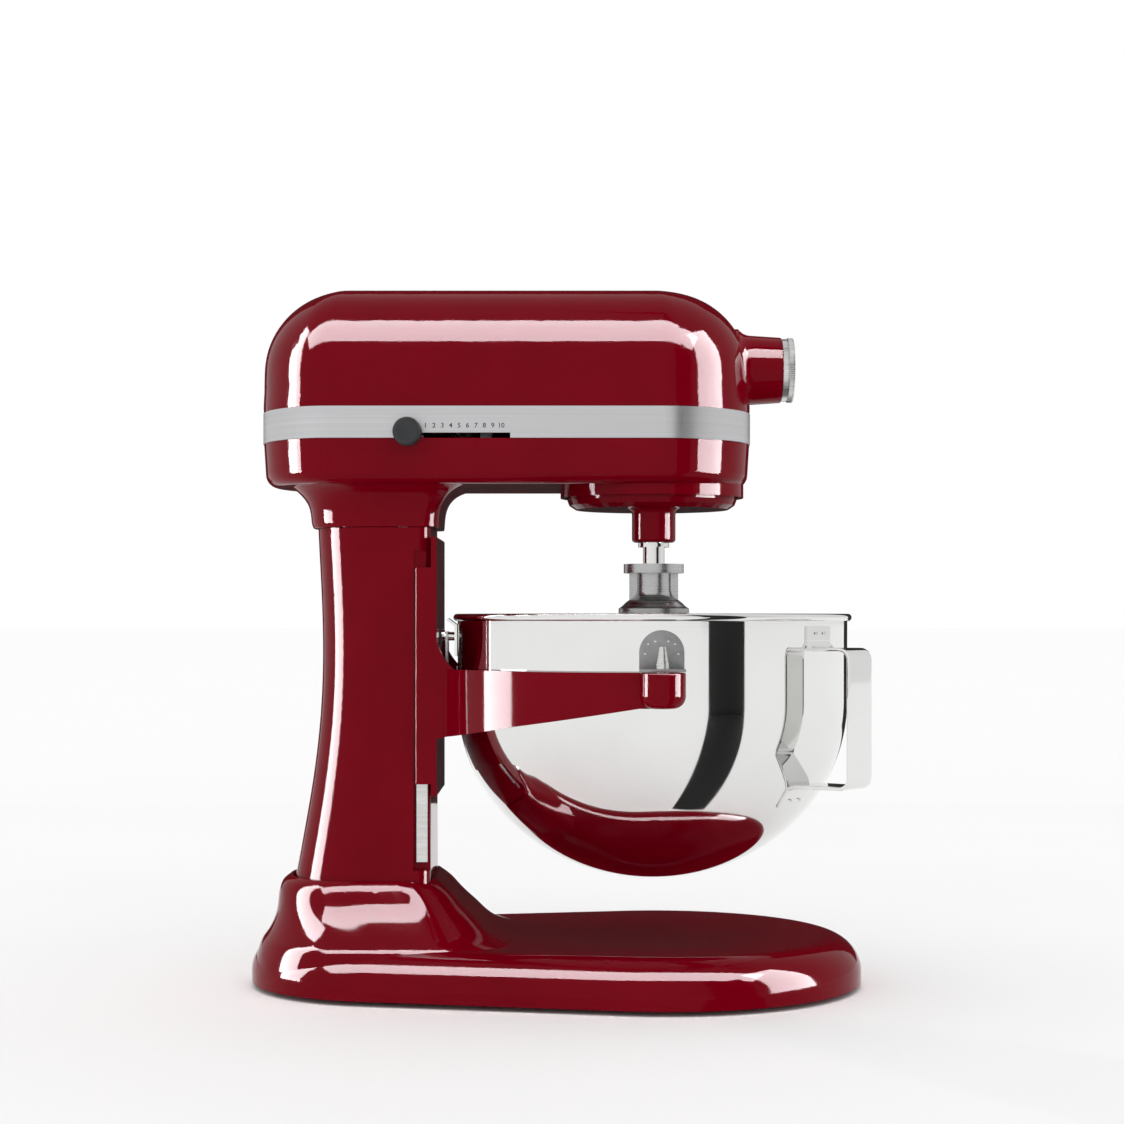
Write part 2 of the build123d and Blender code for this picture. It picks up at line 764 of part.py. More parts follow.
with BuildPart() as hub_bevel_gear:
    add(bevel_gear(mitre_teeth, mitre_teeth, mitre_module, 7.0, 11, 1.5, 5))
hub_bevel_gear.part = hub_bevel_gear.part.moved(Location((bowl_x, 0, hub_z)))
keep(hub_bevel_gear, "hub_bevel_gear")

# ---------------------------------------------------------------- beater shaft and whip
beater_y = -beater_offset
with BuildPart() as beater_shaft:
    with BuildSketch(Plane.XY.offset(232)):
        with Locations((bowl_x, beater_y)):
            Circle(beater_shaft_r)
    extrude(amount=gear_high + 0.3 - 232)
    chamfer(beater_shaft.faces().sort_by(Axis.Z)[0].edges(), length=1.5)
    with BuildSketch(Plane.YZ.offset(bowl_x - 10)):
        with Locations((beater_y, 242)):
            Circle(1.6)
    extrude(amount=20, mode=Mode.SUBTRACT)
keep(beater_shaft, "beater_shaft")

with BuildPart() as beater_pin:
    with BuildSketch(Plane.YZ.offset(bowl_x - 9)):
        with Locations((beater_y, 242)):
            Circle(1.6)
    extrude(amount=18)
keep(beater_pin, "beater_pin")

with BuildPart() as beater_pinion:
    add(spur_gear(beater_teeth, module, gear_low, gear_high, beater_shaft_r, 90 + 180 / beater_teeth))
beater_pinion.part = beater_pinion.part.moved(Location((bowl_x, beater_y, 0)))
keep(beater_pinion, "beater_pinion")

with BuildPart() as drip_washer:
    add(tube(264.4, 266.8, 9.2, beater_shaft_r, (bowl_x, beater_y)))
keep(drip_washer, "drip_washer")

with BuildPart() as whip_hub:
    with BuildSketch(Plane.XZ):
        with BuildLine():
            Polyline((0, 226), (17.5, 226), (17.5, 225), (21, 225), (21, 227.8))
            Spline(
                (21, 227.8), (16.5, 231.5), (11.5, 235.5), (10.2, 241),
                tangents=((-1.2, 0.6), (0, 1)),
            )
            Polyline((10.2, 241), (10.2, 248.9), (17.9, 248.9), (17.9, 254.3), (0, 254.3), (0, 226))
        make_face()
    revolve(axis=Axis.Z)
    with BuildSketch(Plane.XZ.offset(-2)):
        with Locations((0, 241)):
            Rectangle(29, 16.5)
    extrude(amount=4)
    with Locations((0, 0, 254.3)):
        Hole(beater_shaft_r, depth=22.3)
    with BuildSketch(Plane.YZ.offset(-16)):
        with Locations((0, 242)):
            SlotOverall(10, 3.3, rotation=90)
    extrude(amount=32, mode=Mode.SUBTRACT)
whip_hub.part = whip_hub.part.moved(Location((bowl_x, beater_y, 0)))
keep(whip_hub, "whip_hub")

whip_bottom = 86.0
wire_r = 1.1
wire_count = 11
with BuildPart() as whip_wires:
    for n in range(wire_count):
        angle = 180 * n / wire_count
        nose = whip_bottom + 2.4 * n
        with BuildLine(Plane(origin=(0, 0, 0), x_dir=(cos(radians(angle)), sin(radians(angle)), 0),
                             z_dir=(sin(radians(angle)), -cos(radians(angle)), 0))) as loop:
            Spline(
                (-18.9, 225), (-27, 205), (-43, 162), (-43, 130), (-26, nose + 10), (0, nose),
                (26, nose + 10), (43, 130), (43, 162), (27, 205), (18.9, 225),
            )
        with BuildSketch(Plane(origin=loop.line @ 0, z_dir=loop.line % 0)):
            Circle(wire_r)
        sweep(path=loop.line, clean=False)
whip_wires.part = whip_wires.part.moved(Location((bowl_x, beater_y, 0)))
keep(whip_wires, "whip_wires")

# ---------------------------------------------------------------- intermediate shaft
cluster_top = motor_z + 3.4
with BuildPart() as cluster_shaft:
    with BuildSketch(Plane.XY.offset(310.5)):
        with Locations((cluster_x, 0)):
            Circle(cluster_shaft_r)
    extrude(amount=355 - 310.5)
    with BuildSketch(Plane.XY.offset(355)):
        with Locations((cluster_x, 0)):
            Circle(cluster_shaft_r - 1)
    extrude(amount=cluster_top - 355)
keep(cluster_shaft, "cluster_shaft")

with BuildPart() as cluster_pinion:
    add(spur_gear(cluster_teeth, module, centre_gear_low - 0.5, centre_gear_high + 0.5, cluster_shaft_r, 0))
cluster_pinion.part = cluster_pinion.part.moved(Location((cluster_x, 0, 0)))
keep(cluster_pinion, "cluster_pinion")

with BuildPart() as cluster_bevel_gear:
    add(bevel_gear(bevel_teeth, motor_pinion_teeth, module, 8.0, 12, 4.0, cluster_shaft_r, 180))
cluster_bevel_gear.part = cluster_bevel_gear.part.moved(Location((cluster_x, 0, motor_z)))
keep(cluster_bevel_gear, "cluster_bevel_gear")

# ---------------------------------------------------------------- motor armature
along_shaft = Plane(origin=(0, 0, motor_z), x_dir=(0, 1, 0), z_dir=(1, 0, 0))
pinion_back = cluster_x - module * bevel_teeth / 2 - 5.0
with BuildPart() as armature_shaft:
    with BuildSketch(along_shaft.offset(-167)):
        Circle(4.0)
    extrude(amount=167 + pinion_back + 13)
keep(armature_shaft, "armature_shaft")

with BuildPart() as armature_core:
    with BuildSketch(along_shaft.offset(field_rear)):
        Circle(armature_r)
        Circle(4.0, mode=Mode.SUBTRACT)
        with PolarLocations(21.5, 14):
            SlotOverall(9.0, 3.0, mode=Mode.SUBTRACT)
    extrude(amount=field_front - field_rear)
keep(armature_core, "armature_core")

with BuildPart() as armature_windings:
    for x, reach in ((field_rear - 8, 8), (field_front, 8)):
        with BuildSketch(along_shaft.offset(x)):
            Circle(23)
            Circle(6, mode=Mode.SUBTRACT)
        extrude(amount=reach)
    fillet(armature_windings.edges().filter_by(GeomType.CIRCLE).filter_by(lambda e: e.radius > 20), radius=3)
keep(armature_windings, "armature_windings")

with BuildPart() as commutator:
    with BuildSketch(along_shaft.offset(brush_x - 5)):
        Circle(11.4)
        Circle(4.0, mode=Mode.SUBTRACT)
    extrude(amount=13)
    with BuildSketch(along_shaft.offset(brush_x - 5)):
        with PolarLocations(10.9, 14):
            Rectangle(1.6, 0.6)
    extrude(amount=13, mode=Mode.SUBTRACT)
keep(commutator, "commutator")

with BuildPart() as cooling_fan:
    with BuildSketch(along_shaft.offset(-63)):
        Circle(32)
        Circle(4.0, mode=Mode.SUBTRACT)
    extrude(amount=1.6)
    with BuildSketch(along_shaft.offset(-61.5)):
        with PolarLocations(21, 10):
            Rectangle(20, 1.6, rotation=22)
        Circle(9)
        Circle(4.0, mode=Mode.SUBTRACT)
    extrude(amount=10)
keep(cooling_fan, "cooling_fan")

with BuildPart() as motor_pinion:
    add(bevel_gear(motor_pinion_teeth, bevel_teeth, module, 8.0, 6.5, 4.0, 4.0, 180 / motor_pinion_teeth))
motor_pinion.part = motor_pinion.part.moved(
    Location(Plane(origin=(cluster_x, 0, motor_z), x_dir=(0, 0, -1), z_dir=(1, 0, 0)))
)
keep(motor_pinion, "motor_pinion")

# ---------------------------------------------------------------- attachment hub
with BuildPart() as hub_spindle:
    with BuildSketch(Plane.YZ.offset(bowl_x + 8)):
        with Locations((0, hub_z)):
            Circle(7.0)
    extrude(amount=sleeve_back + 14 - bowl_x - 8)
    with BuildSketch(Plane.YZ.offset(sleeve_back + 14)):
        with Locations((0, hub_z)):
            Rectangle(7.6, 7.6, rotation=45)
    extrude(amount=-13, mode=Mode.SUBTRACT)
keep(hub_spindle, "hub_spindle")

with BuildPart() as hub_bevel_pinion:
    add(bevel_gear(mitre_teeth, mitre_teeth, mitre_module, 7.0, 11, 1.5, 7.0, 180 / mitre_teeth))
hub_bevel_pinion.part = hub_bevel_pinion.part.moved(
    Location(Plane(origin=(bowl_x, 0, hub_z), x_dir=(0, 0, -1), z_dir=(-1, 0, 0)))
)
keep(hub_bevel_pinion, "hub_bevel_pinion")

plug_end = 144.0
with BuildPart() as hub_plug:
    with BuildSketch(Plane.XZ):
        with BuildLine():
            Polyline(
                (hub_end - 14, hub_z), (hub_end - 14, hub_z + 12.7), (hub_end + 0.2, hub_z + 12.7),
                (hub_end + 0.2, hub_z + 19.4), (plug_end, hub_z + 19.8), (plug_end, hub_z), close=True,
            )
        make_face()
    revolve(axis=Axis((0, 0, hub_z), (1, 0, 0)))
    fillet(hub_plug.faces().sort_by(Axis.X)[-1].edges(), radius=1.2)
    with BuildSketch(Plane.YZ.offset(hub_end - 14)):
        with Locations((0, hub_z)):
            Circle(10.5)
    extrude(amount=14, mode=Mode.SUBTRACT)
keep(hub_plug, "hub_plug")

with BuildPart() as hub_screw:
    with BuildSketch(Plane.XZ.offset(-12.9)):
        with Locations((127, hub_z)):
            Circle(3.0)
    extrude(amount=-11)
    with BuildSketch(Plane.XZ.offset(-22.5)):
        with Locations((127, hub_z)):
            Circle(8.5)
            with PolarLocations(9.6, 8):
                Circle(1.6, mode=Mode.SUBTRACT)
    extrude(amount=-14)
    fillet(hub_screw.faces().sort_by(Axis.Y)[-1].edges(), radius=0.6)
keep(hub_screw, "hub_screw")

# ---------------------------------------------------------------- bowl support and its lift
cheek_y = rail_y + 2.5


def locating_cup():
    """Cup at the end of an arm: flat on top, well rounded below."""
    with BuildPart() as cup:
        with BuildSketch(Plane.XY.offset(cup_bottom)):
            Circle(cup_r)
        extrude(amount=yoke_top - cup_bottom)
        fillet(cup.faces().sort_by(Axis.Z)[0].edges(), radius=7)
        fillet(cup.faces().sort_by(Axis.Z)[-1].edges(), radius=1)
    return cup.part


def locating_pin():
    """Tapered pin that stands in a cup."""
    with BuildPart() as pin:
        with BuildSketch(Plane.XZ):
            with BuildLine():
                Polyline(
                    (0, 181), (3.0, 181), (3.0, 192), (3.7, 192), (3.5, 197), (1.9, 206.3), (0, 206.3),
                    close=True,
                )
            make_face()
        revolve(axis=Axis.Z)
    return pin.part


with BuildPart() as bowl_support:
    # plate against the column, with slanted ends
    with BuildSketch(Plane.XY.offset(117)):
        with Locations(((plate_front + plate_back) / 2, 0)):
            Rectangle(plate_front - plate_back, 2 * (cheek_y + 5))
    extrude(amount=153)
    # cheeks that wrap the rails
    for side in (-1, 1):
        with BuildSketch(Plane.XY.offset(124)):
            with Locations((-78.6, side * (cheek_y + 2.5))):
                Rectangle(9.3, 5)
        extrude(amount=128)
    # half ring round the bowl
    with BuildSketch(Plane.XY.offset(150)):
        with Locations((bowl_x, 0)):
            Circle(yoke_outer)
        with Locations((plate_front + 4.5, 0)):
            Rectangle(9.2, 2 * (cheek_y + 5))
    extrude(amount=yoke_top - 150)
    # arms get shallower towards their ends
    with BuildSketch(Plane.XZ.offset(-200)):
        with BuildLine():
            Polyline(
                (plate_front, 140), (plate_front, 150.8), (-28, 160), (46, 172), (80, 172), (80, 140),
                close=True,
            )
        make_face()
    extrude(amount=400, mode=Mode.SUBTRACT)
    # the ring ends in a round-bottomed cup on each side
    with BuildSketch(Plane.XY.offset(140)):
        with Locations((cup_x + 100, 0)):
            Rectangle(200, 400)
    extrude(amount=70, mode=Mode.SUBTRACT)
    with Locations((cup_x, cup_y, 0), (cup_x, -cup_y, 0)):
        add(locating_cup())
    with BuildSketch(Plane.XY.offset(149)):
        with Locations((bowl_x, 0)):
            Circle(yoke_inner)
    extrude(amount=yoke_top - 148, mode=Mode.SUBTRACT)
    # gussets between the plate and the arms
    for side in (-1, 1):
        with BuildSketch(Plane.XZ.offset(-side * (cheek_y + 2) - 3)):
            with BuildLine():
                Line((plate_front - 0.5, 214), (plate_front - 0.5, 186))
                Line((plate_front - 0.5, 186), (-59.5, 186))
                Line((-59.5, 186), (-59.5, 191))
                ThreePointArc((-59.5, 191), (-66.5, 199), (plate_front - 0.5, 214))
            make_face()
        extrude(amount=6)
    # rounded outer edges of the plate and its cheeks
    corners = bowl_support.edges().filter_by(Axis.Z).filter_by(lambda e: abs(e.center().Y) > cheek_y + 4.9)
    fillet(corners.filter_by(lambda e: e.center().X < plate_back - 5), radius=1.5)
    # sockets of the locating pins
    with Locations((cup_x, cup_y, yoke_top), (cup_x, -cup_y, yoke_top)):
        Hole(3.0, depth=12)
    # tab behind the plate that the crank pin lifts
    pin_z = lift_shaft_z + crank_r * sin(radians(45))
    with BuildSketch(Plane.XZ.offset(-12)):
        with Locations(((plate_back - 131) / 2 + 0.25, pin_z)):
            Rectangle(131 + plate_back + 0.5, 20)
        with Locations((lift_shaft_x - crank_r * 0.86, pin_z)):
            SlotOverall(crank_pin_r * 2 + 9.5, crank_pin_r * 2 + 2.0, mode=Mode.SUBTRACT)
    extrude(amount=-6)
    # clearance round the bowl's rear bracket and the catch
    with BuildSketch(Plane.XY.offset(186)):
        with Locations((-63, 0)):
            Rectangle(15, 34)
    extrude(amount=8, mode=Mode.SUBTRACT)
keep(bowl_support, "bowl_support")

with BuildPart() as locating_pins:
    with Locations((cup_x, cup_y, 0), (cup_x, -cup_y, 0)):
        add(locating_pin())
keep(locating_pins, "locating_pins")

with BuildPart() as lift_shaft:
    with BuildSketch(Plane.XZ.offset(-20)):
        with Locations((lift_shaft_x, lift_shaft_z)):
            Circle(6.5)
    extrude(amount=-30)
    crank_angle = radians(135)
    crank_end = (lift_shaft_x + crank_r * cos(crank_angle), lift_shaft_z + crank_r * sin(crank_angle))
    with BuildSketch(Plane.XZ.offset(-20)):
        with Locations((lift_shaft_x, lift_shaft_z)):
            Circle(7.5)
        with Locations(crank_end):
            Circle(6.0)
        make_hull()
    extrude(amount=-4)
    with BuildSketch(Plane.XZ.offset(-10)):
        with Locations(crank_end):
            Circle(crank_pin_r)
    extrude(amount=-11)
keep(lift_shaft, "lift_shaft")


with BuildPart() as lift_lever:
    with BuildSketch(Plane.XZ.offset(-50)):
        with Locations((lift_shaft_x, lift_shaft_z)):
            Circle(9)
        with Locations((lift_shaft_x, lift_shaft_z + 55)):
            Circle(6.5)
        make_hull()
    extrude(amount=-6)
    with BuildSketch(Plane.XZ.offset(-45)):
        with Locations((lift_shaft_x, lift_shaft_z)):
            Circle(9)
    extrude(amount=-8)
    with BuildSketch(Plane.XZ.offset(-44)):
        with Locations((lift_shaft_x, lift_shaft_z)):
            Circle(6.5)
    extrude(amount=-6, mode=Mode.SUBTRACT)
keep(lift_lever, "lift_lever")

with BuildPart() as lift_grip:
    with BuildSketch(Plane.XZ.offset(-56)):
        with Locations((lift_shaft_x, lift_shaft_z + 55)):
            Circle(8.5)
    extrude(amount=-17)
    fillet(lift_grip.faces().sort_by(Axis.Y)[-1].edges(), radius=4)
keep(lift_grip, "lift_grip")

with BuildPart() as bowl_catch:
    with BuildSketch(Plane.YZ.offset(-67.2)):
        with Locations((0, 206)):
            Rectangle(18, 16)
        with Locations((0, 193)):
            Rectangle(10, 14)
        with Locations((0, 211)):
            SlotOverall(16, 6.6, rotation=90, mode=Mode.SUBTRACT)
        with Locations((0, 214)):
            Rectangle(6.6, 6, mode=Mode.SUBTRACT)
    extrude(amount=1.2)
keep(bowl_catch, "bowl_catch")

# ---------------------------------------------------------------- bowl
with BuildPart() as bowl:
    with BuildSketch(Plane.XZ):
        with BuildLine():
            cut = degrees(asin((bowl_spring_z - bowl_flat_z) / bowl_depth))
            inner_depth = bowl_depth - bowl_sheet
            inner_r = bowl_r - bowl_sheet
            inner_cut = degrees(asin((bowl_spring_z - bowl_flat_z - bowl_sheet) / inner_depth))
            outer = EllipticalCenterArc(
                (0, bowl_spring_z), bowl_r, bowl_depth, start_angle=-cut, arc_size=cut,
            )
            Line(outer @ 1, (bowl_r, bowl_rim_z))
            Line((bowl_r, bowl_rim_z), (inner_r, bowl_rim_z))
            Line((inner_r, bowl_rim_z), (inner_r, bowl_spring_z))
            inner = EllipticalCenterArc(
                (0, bowl_spring_z), inner_r, inner_depth, start_angle=-inner_cut, arc_size=inner_cut,
            )
            Line(inner @ 0, (0, bowl_flat_z + bowl_sheet))
            Line((0, bowl_flat_z + bowl_sheet), (0, bowl_flat_z))
            Line((0, bowl_flat_z), outer @ 0)
        make_face()
    revolve(axis=Axis.Z)
    with BuildSketch(Plane.XZ):
        with Locations((bowl_r + 0.45, bowl_rim_z)):
            Circle(2.25)
    revolve(axis=Axis.Z)
bowl.part = bowl.part.moved(Location((bowl_x, 0, 0)))
keep(bowl, "bowl")

grip_r = 146.6
strap = 2.2
with BuildPart() as bowl_handle:
    with BuildLine(Plane.XZ) as strap_path:
        FilletPolyline(
            (bowl_r + 1.2, 217.5), (bowl_r + 1.2, 205), (grip_r, 205), (grip_r, 124),
            (107.6, 124), (101.6, 112),
            radius=[3, 7, 7, 3],
        )
    with BuildSketch(Plane(origin=strap_path.line @ 0, z_dir=strap_path.line % 0, x_dir=(0, 1, 0))):
        Rectangle(25, strap)
    sweep()
bowl_handle.part = bowl_handle.part.moved(Location((bowl_x, 0, 0), (0, 0, handle_angle)))
keep(bowl_handle, "bowl_handle")


def side_bracket():
    """Arched plate with a drilled ear, on the +Y side of a bowl that is centred on the origin."""
    with BuildPart() as bracket:
        with BuildSketch(Plane.XZ.offset(-bowl_r - 0.1)) as plate:
            with Locations((cup_x - bowl_x, 203)):
                Rectangle(25.2, 25)
            fillet(plate.vertices().group_by(Axis.Y)[-1], radius=12.5)
        extrude(amount=-1.6)
        with BuildSketch(Plane.XY.offset(192.4)):
            with Locations((cup_x - bowl_x, bowl_r + 0.1 + 9.5)):
                Rectangle(25.2, 19)
            with Locations((cup_x - bowl_x, cup_y)):
                Circle(4.3, mode=Mode.SUBTRACT)
        extrude(amount=1.6)
    return bracket.part


with BuildPart() as side_brackets:
    add(side_bracket())
    mirror(about=Plane.XZ)
side_brackets.part = side_brackets.part.moved(Location((bowl_x, 0, 0)))
keep(side_brackets, "side_brackets")

with BuildPart() as rear_bracket:
    with BuildSketch(Plane.XZ.offset(-9)):
        with BuildLine():
            Polyline(
                (-bowl_r - 0.1, 199), (-bowl_r - 0.1, 218), (-bowl_r - 5.5, 222), (-bowl_r - 6.5, 220.8),
                (-bowl_r - 1.7, 217), (-bowl_r - 1.7, 199), close=True,
            )
        make_face()
    extrude(amount=18)
    with BuildSketch(Plane.YZ.offset(-bowl_r - 1.0)):
        with Locations((0, 211)):
            Circle(2.6)
    extrude(amount=-8.5)
    with BuildSketch(Plane.YZ.offset(-bowl_r - 8.1)):
        with Locations((0, 211)):
            Circle(4.6)
    extrude(amount=-1.4)
rear_bracket.part = rear_bracket.part.moved(Location((bowl_x, 0, 0)))
keep(rear_bracket, "rear_bracket")
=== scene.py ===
"""Looks of a bowl-lift stand mixer: enamelled castings, polished bowl, brushed band and wire whip."""

import json
import math

import bmesh
import bpy
from mathutils import Matrix, Vector


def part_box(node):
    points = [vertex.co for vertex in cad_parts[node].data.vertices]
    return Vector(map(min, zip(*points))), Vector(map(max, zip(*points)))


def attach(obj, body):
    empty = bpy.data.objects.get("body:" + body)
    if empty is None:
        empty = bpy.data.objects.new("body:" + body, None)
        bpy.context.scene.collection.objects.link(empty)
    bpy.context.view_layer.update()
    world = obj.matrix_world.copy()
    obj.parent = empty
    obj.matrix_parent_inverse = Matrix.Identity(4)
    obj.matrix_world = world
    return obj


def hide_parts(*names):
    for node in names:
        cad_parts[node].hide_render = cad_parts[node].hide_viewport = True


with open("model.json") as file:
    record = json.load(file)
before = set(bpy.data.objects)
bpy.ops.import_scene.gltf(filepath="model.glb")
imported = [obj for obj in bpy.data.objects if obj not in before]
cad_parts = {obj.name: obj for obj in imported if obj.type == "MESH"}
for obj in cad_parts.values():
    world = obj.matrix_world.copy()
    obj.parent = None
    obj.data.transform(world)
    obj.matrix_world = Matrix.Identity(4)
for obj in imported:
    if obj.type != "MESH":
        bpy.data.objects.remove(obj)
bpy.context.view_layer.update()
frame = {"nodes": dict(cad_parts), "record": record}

bl_info = {
    "name": "Stand mixer",
    "version": (1, 0, 0),
    "blender": (4, 5, 0),
    "location": "3D View > Sidebar > Mixer",
    "description": "Builds the pieces, finishes and studio of a bowl-lift stand mixer",
    "category": "Object",
}

MM = 0.001

# how bright the room is seen in reflections, by the share of a turn from straight behind;
# the two lowest values are a dark screen to the right of the camera
SCREENS = (
    (0.33, 0.95), (0.5, 0.9), (0.556, 0.78), (0.57, 0.74),
    (0.576, 0.012), (0.64, 0.012), (0.646, 0.66), (0.75, 0.85),
)


# ---------------------------------------------------------------- places read from the frame
def middle(node):
    low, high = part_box(node)
    return (low + high) / 2


BOWL_LOW, BOWL_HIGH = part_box("bowl")
BOWL_X = middle("bowl").x
HUB_Z = middle("hub_plug").z
BAND_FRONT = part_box("trim_band")[0].y
PLATE_X = middle("side_brackets").x

# ---------------------------------------------------------------- sizes shared by several pieces
RIM_ROLL = 2.7 * MM  # how far the rolled rim stands out of the bowl's wall
BOWL_R = (BOWL_HIGH.x - BOWL_LOW.x) / 2 - RIM_ROLL
BOWL_WALL = 1.2 * MM
BOWL_SPRING = 172 * MM  # height at which the straight wall turns into the round bottom
BOWL_DEPTH = 107.3 * MM  # from there down to the lowest point of the full curve
HANDLE_TURN = -38  # degrees from straight ahead, towards the camera
PLATE_Y = 120.1 * MM  # outer face of the arched plates
MERGE = 1e-6  # corners closer than this are one


# ---------------------------------------------------------------- user settings
class MixerColours(bpy.types.PropertyGroup):
    enamel: bpy.props.FloatVectorProperty(
        name="Enamel", description="Colour of the painted castings", subtype="COLOR", size=3,
        default=(0.17, 0.0, 0.006),
    )
    knob: bpy.props.FloatVectorProperty(
        name="Knob", description="Colour of the moulded knobs", subtype="COLOR", size=3,
        default=(0.022, 0.023, 0.025),
    )
    band: bpy.props.FloatVectorProperty(
        name="Band", description="Colour of the aluminium band", subtype="COLOR", size=3,
        default=(0.60, 0.60, 0.61),
    )
    steel: bpy.props.FloatVectorProperty(
        name="Steel", description="Colour of the stainless pieces", subtype="COLOR", size=3,
        default=(0.80, 0.80, 0.79),
    )


class MixerSizes(bpy.types.PropertyGroup):
    ridges: bpy.props.IntProperty(
        name="Ridges", description="Knurled ridges round the hub's plug", default=96,
    )
    digit: bpy.props.FloatProperty(
        name="Digit", description="Height of the speed numbers", default=2.7 * MM, unit="LENGTH",
    )


# ---------------------------------------------------------------- material helpers
def new_material(name, colour, metallic, roughness, **sockets):
    """A principled material with its even values on the shader's own sockets."""
    material = bpy.data.materials.new(name)
    material.use_nodes = True
    shader = material.node_tree.nodes["Principled BSDF"]
    shader.inputs["Base Color"].default_value = (*colour, 1)
    shader.inputs["Metallic"].default_value = metallic
    shader.inputs["Roughness"].default_value = roughness
    for key, value in sockets.items():
        shader.inputs[key.replace("_", " ")].default_value = value
    return material, shader


def noise(material, scale, stretch=(1, 1, 1), detail=3.0, centre=(0, 0, 0)):
    """Noise on Object coordinates, with its scale in cycles per metre along each axis."""
    nodes, links = material.node_tree.nodes, material.node_tree.links
    place = nodes.new("ShaderNodeTexCoord")
    mapping = nodes.new("ShaderNodeMapping")
    mapping.inputs["Location"].default_value = [-c * s for c, s in zip(centre, stretch)]
    mapping.inputs["Scale"].default_value = stretch
    texture = nodes.new("ShaderNodeTexNoise")
    texture.inputs["Scale"].default_value = scale
    texture.inputs["Detail"].default_value = detail
    links.new(place.outputs["Object"], mapping.inputs["Vector"])
    links.new(mapping.outputs["Vector"], texture.inputs["Vector"])
    return texture.outputs["Fac"]


def vary(material, shader, fac, socket, low, high):
    """Drive a shader value between low and high by a texture."""
    nodes, links = material.node_tree.nodes, material.node_tree.links
    spread = nodes.new("ShaderNodeMapRange")
    spread.inputs["From Min"].default_value = 0.3
    spread.inputs["From Max"].default_value = 0.7
    spread.inputs["To Min"].default_value = low
    spread.inputs["To Max"].default_value = high
    links.new(fac, spread.inputs["Value"])
    links.new(spread.outputs["Result"], shader.inputs[socket])


def tint(material, shader, fac, dark, light):
    """Vary the base colour between two shades by a texture."""
    nodes, links = material.node_tree.nodes, material.node_tree.links
    ramp = nodes.new("ShaderNodeValToRGB")
    ramp.color_ramp.elements[0].position = 0.3
    ramp.color_ramp.elements[1].position = 0.7
    ramp.color_ramp.elements[0].color = (*dark, 1)
    ramp.color_ramp.elements[1].color = (*light, 1)
    links.new(fac, ramp.inputs["Fac"])
    links.new(ramp.outputs["Color"], shader.inputs["Base Color"])


def emboss(material, shader, fac, depth, strength=1.0):
    """A fine relief; depth is in metres."""
    nodes, links = material.node_tree.nodes, material.node_tree.links
    bump = nodes.new("ShaderNodeBump")
    bump.inputs["Strength"].default_value = strength
    bump.inputs["Distance"].default_value = depth
    links.new(fac, bump.inputs["Height"])
    links.new(bump.outputs["Normal"], shader.inputs["Normal"])


def shade(colour, factor):
    return tuple(c * factor for c in colour)


# ---------------------------------------------------------------- finishes
def enamel(colour):
    material, shader = new_material(
        "deep_red_enamel", colour, 0.0, 0.06, IOR=1.36, Specular_IOR_Level=0.13,
        Specular_Tint=(1, 0.88, 0.92, 1),
    )
    tint(material, shader, noise(material, 22), shade(colour, 0.93), shade(colour, 1.06))
    vary(material, shader, noise(material, 35), "Roughness", 0.045, 0.075)
    emboss(material, shader, noise(material, 900, detail=1.0), 0.000001, 0.1)
    return material


def brushed(name, colour, stretch, roughness=(0.27, 0.4), depth=0.00002):
    material, shader = new_material(name, colour, 1.0, 0.3)
    grain = noise(material, 60, stretch=stretch, detail=4.0)
    tint(material, shader, grain, shade(colour, 0.86), shade(colour, 1.1))
    vary(material, shader, grain, "Roughness", *roughness)
    emboss(material, shader, grain, depth, 0.5)
    return material


def polished(name, colour, centre):
    """Mirror-polished steel with the faint rings that spinning leaves."""
    material, shader = new_material(name, colour, 1.0, 0.05)
    rings = noise(material, 90, stretch=(0.15, 0.15, 14), detail=2.0, centre=centre)
    smudge = noise(material, 18, detail=4.0)
    tint(material, shader, smudge, shade(colour, 0.97), shade(colour, 1.03))
    vary(material, shader, smudge, "Roughness", 0.03, 0.07)
    emboss(material, shader, rings, 0.000008, 0.25)
    return material


def cast(name, colour, roughness=(0.3, 0.5), metallic=1.0):
    material, shader = new_material(name, colour, metallic, 0.4)
    grit = noise(material, 1400, detail=4.0)
    tint(material, shader, noise(material, 120), shade(colour, 0.85), shade(colour, 1.12))
    vary(material, shader, grit, "Roughness", *roughness)
    emboss(material, shader, grit, 0.00008, 0.5)
    return material


def moulded(name, colour, roughness=(0.42, 0.6)):
    material, shader = new_material(name, colour, 0.0, 0.5, IOR=1.46)
    grit = noise(material, 2600, detail=2.0)
    tint(material, shader, noise(material, 60), shade(colour, 0.9), shade(colour, 1.1))
    vary(material, shader, grit, "Roughness", *roughness)
    emboss(material, shader, grit, 0.00004, 0.4)
    return material


def windings(name, colour):
    """Varnished wire laid side by side."""
    material, shader = new_material(name, colour, 0.9, 0.3)
    strands = noise(material, 700, stretch=(0.05, 1, 1), detail=1.0)
    tint(material, shader, strands, shade(colour, 0.5), shade(colour, 1.2))
    emboss(material, shader, strands, 0.0003, 0.9)
    return material


FINISH = {}
# nodes whose finish differs from their slot's; the speed guide gets the near-black finish as painted
# shade, so the slot in the band reads dark
OWN_FINISH = {"whip_hub": "turned_aluminium", "speed_guide": "dark_gap"}


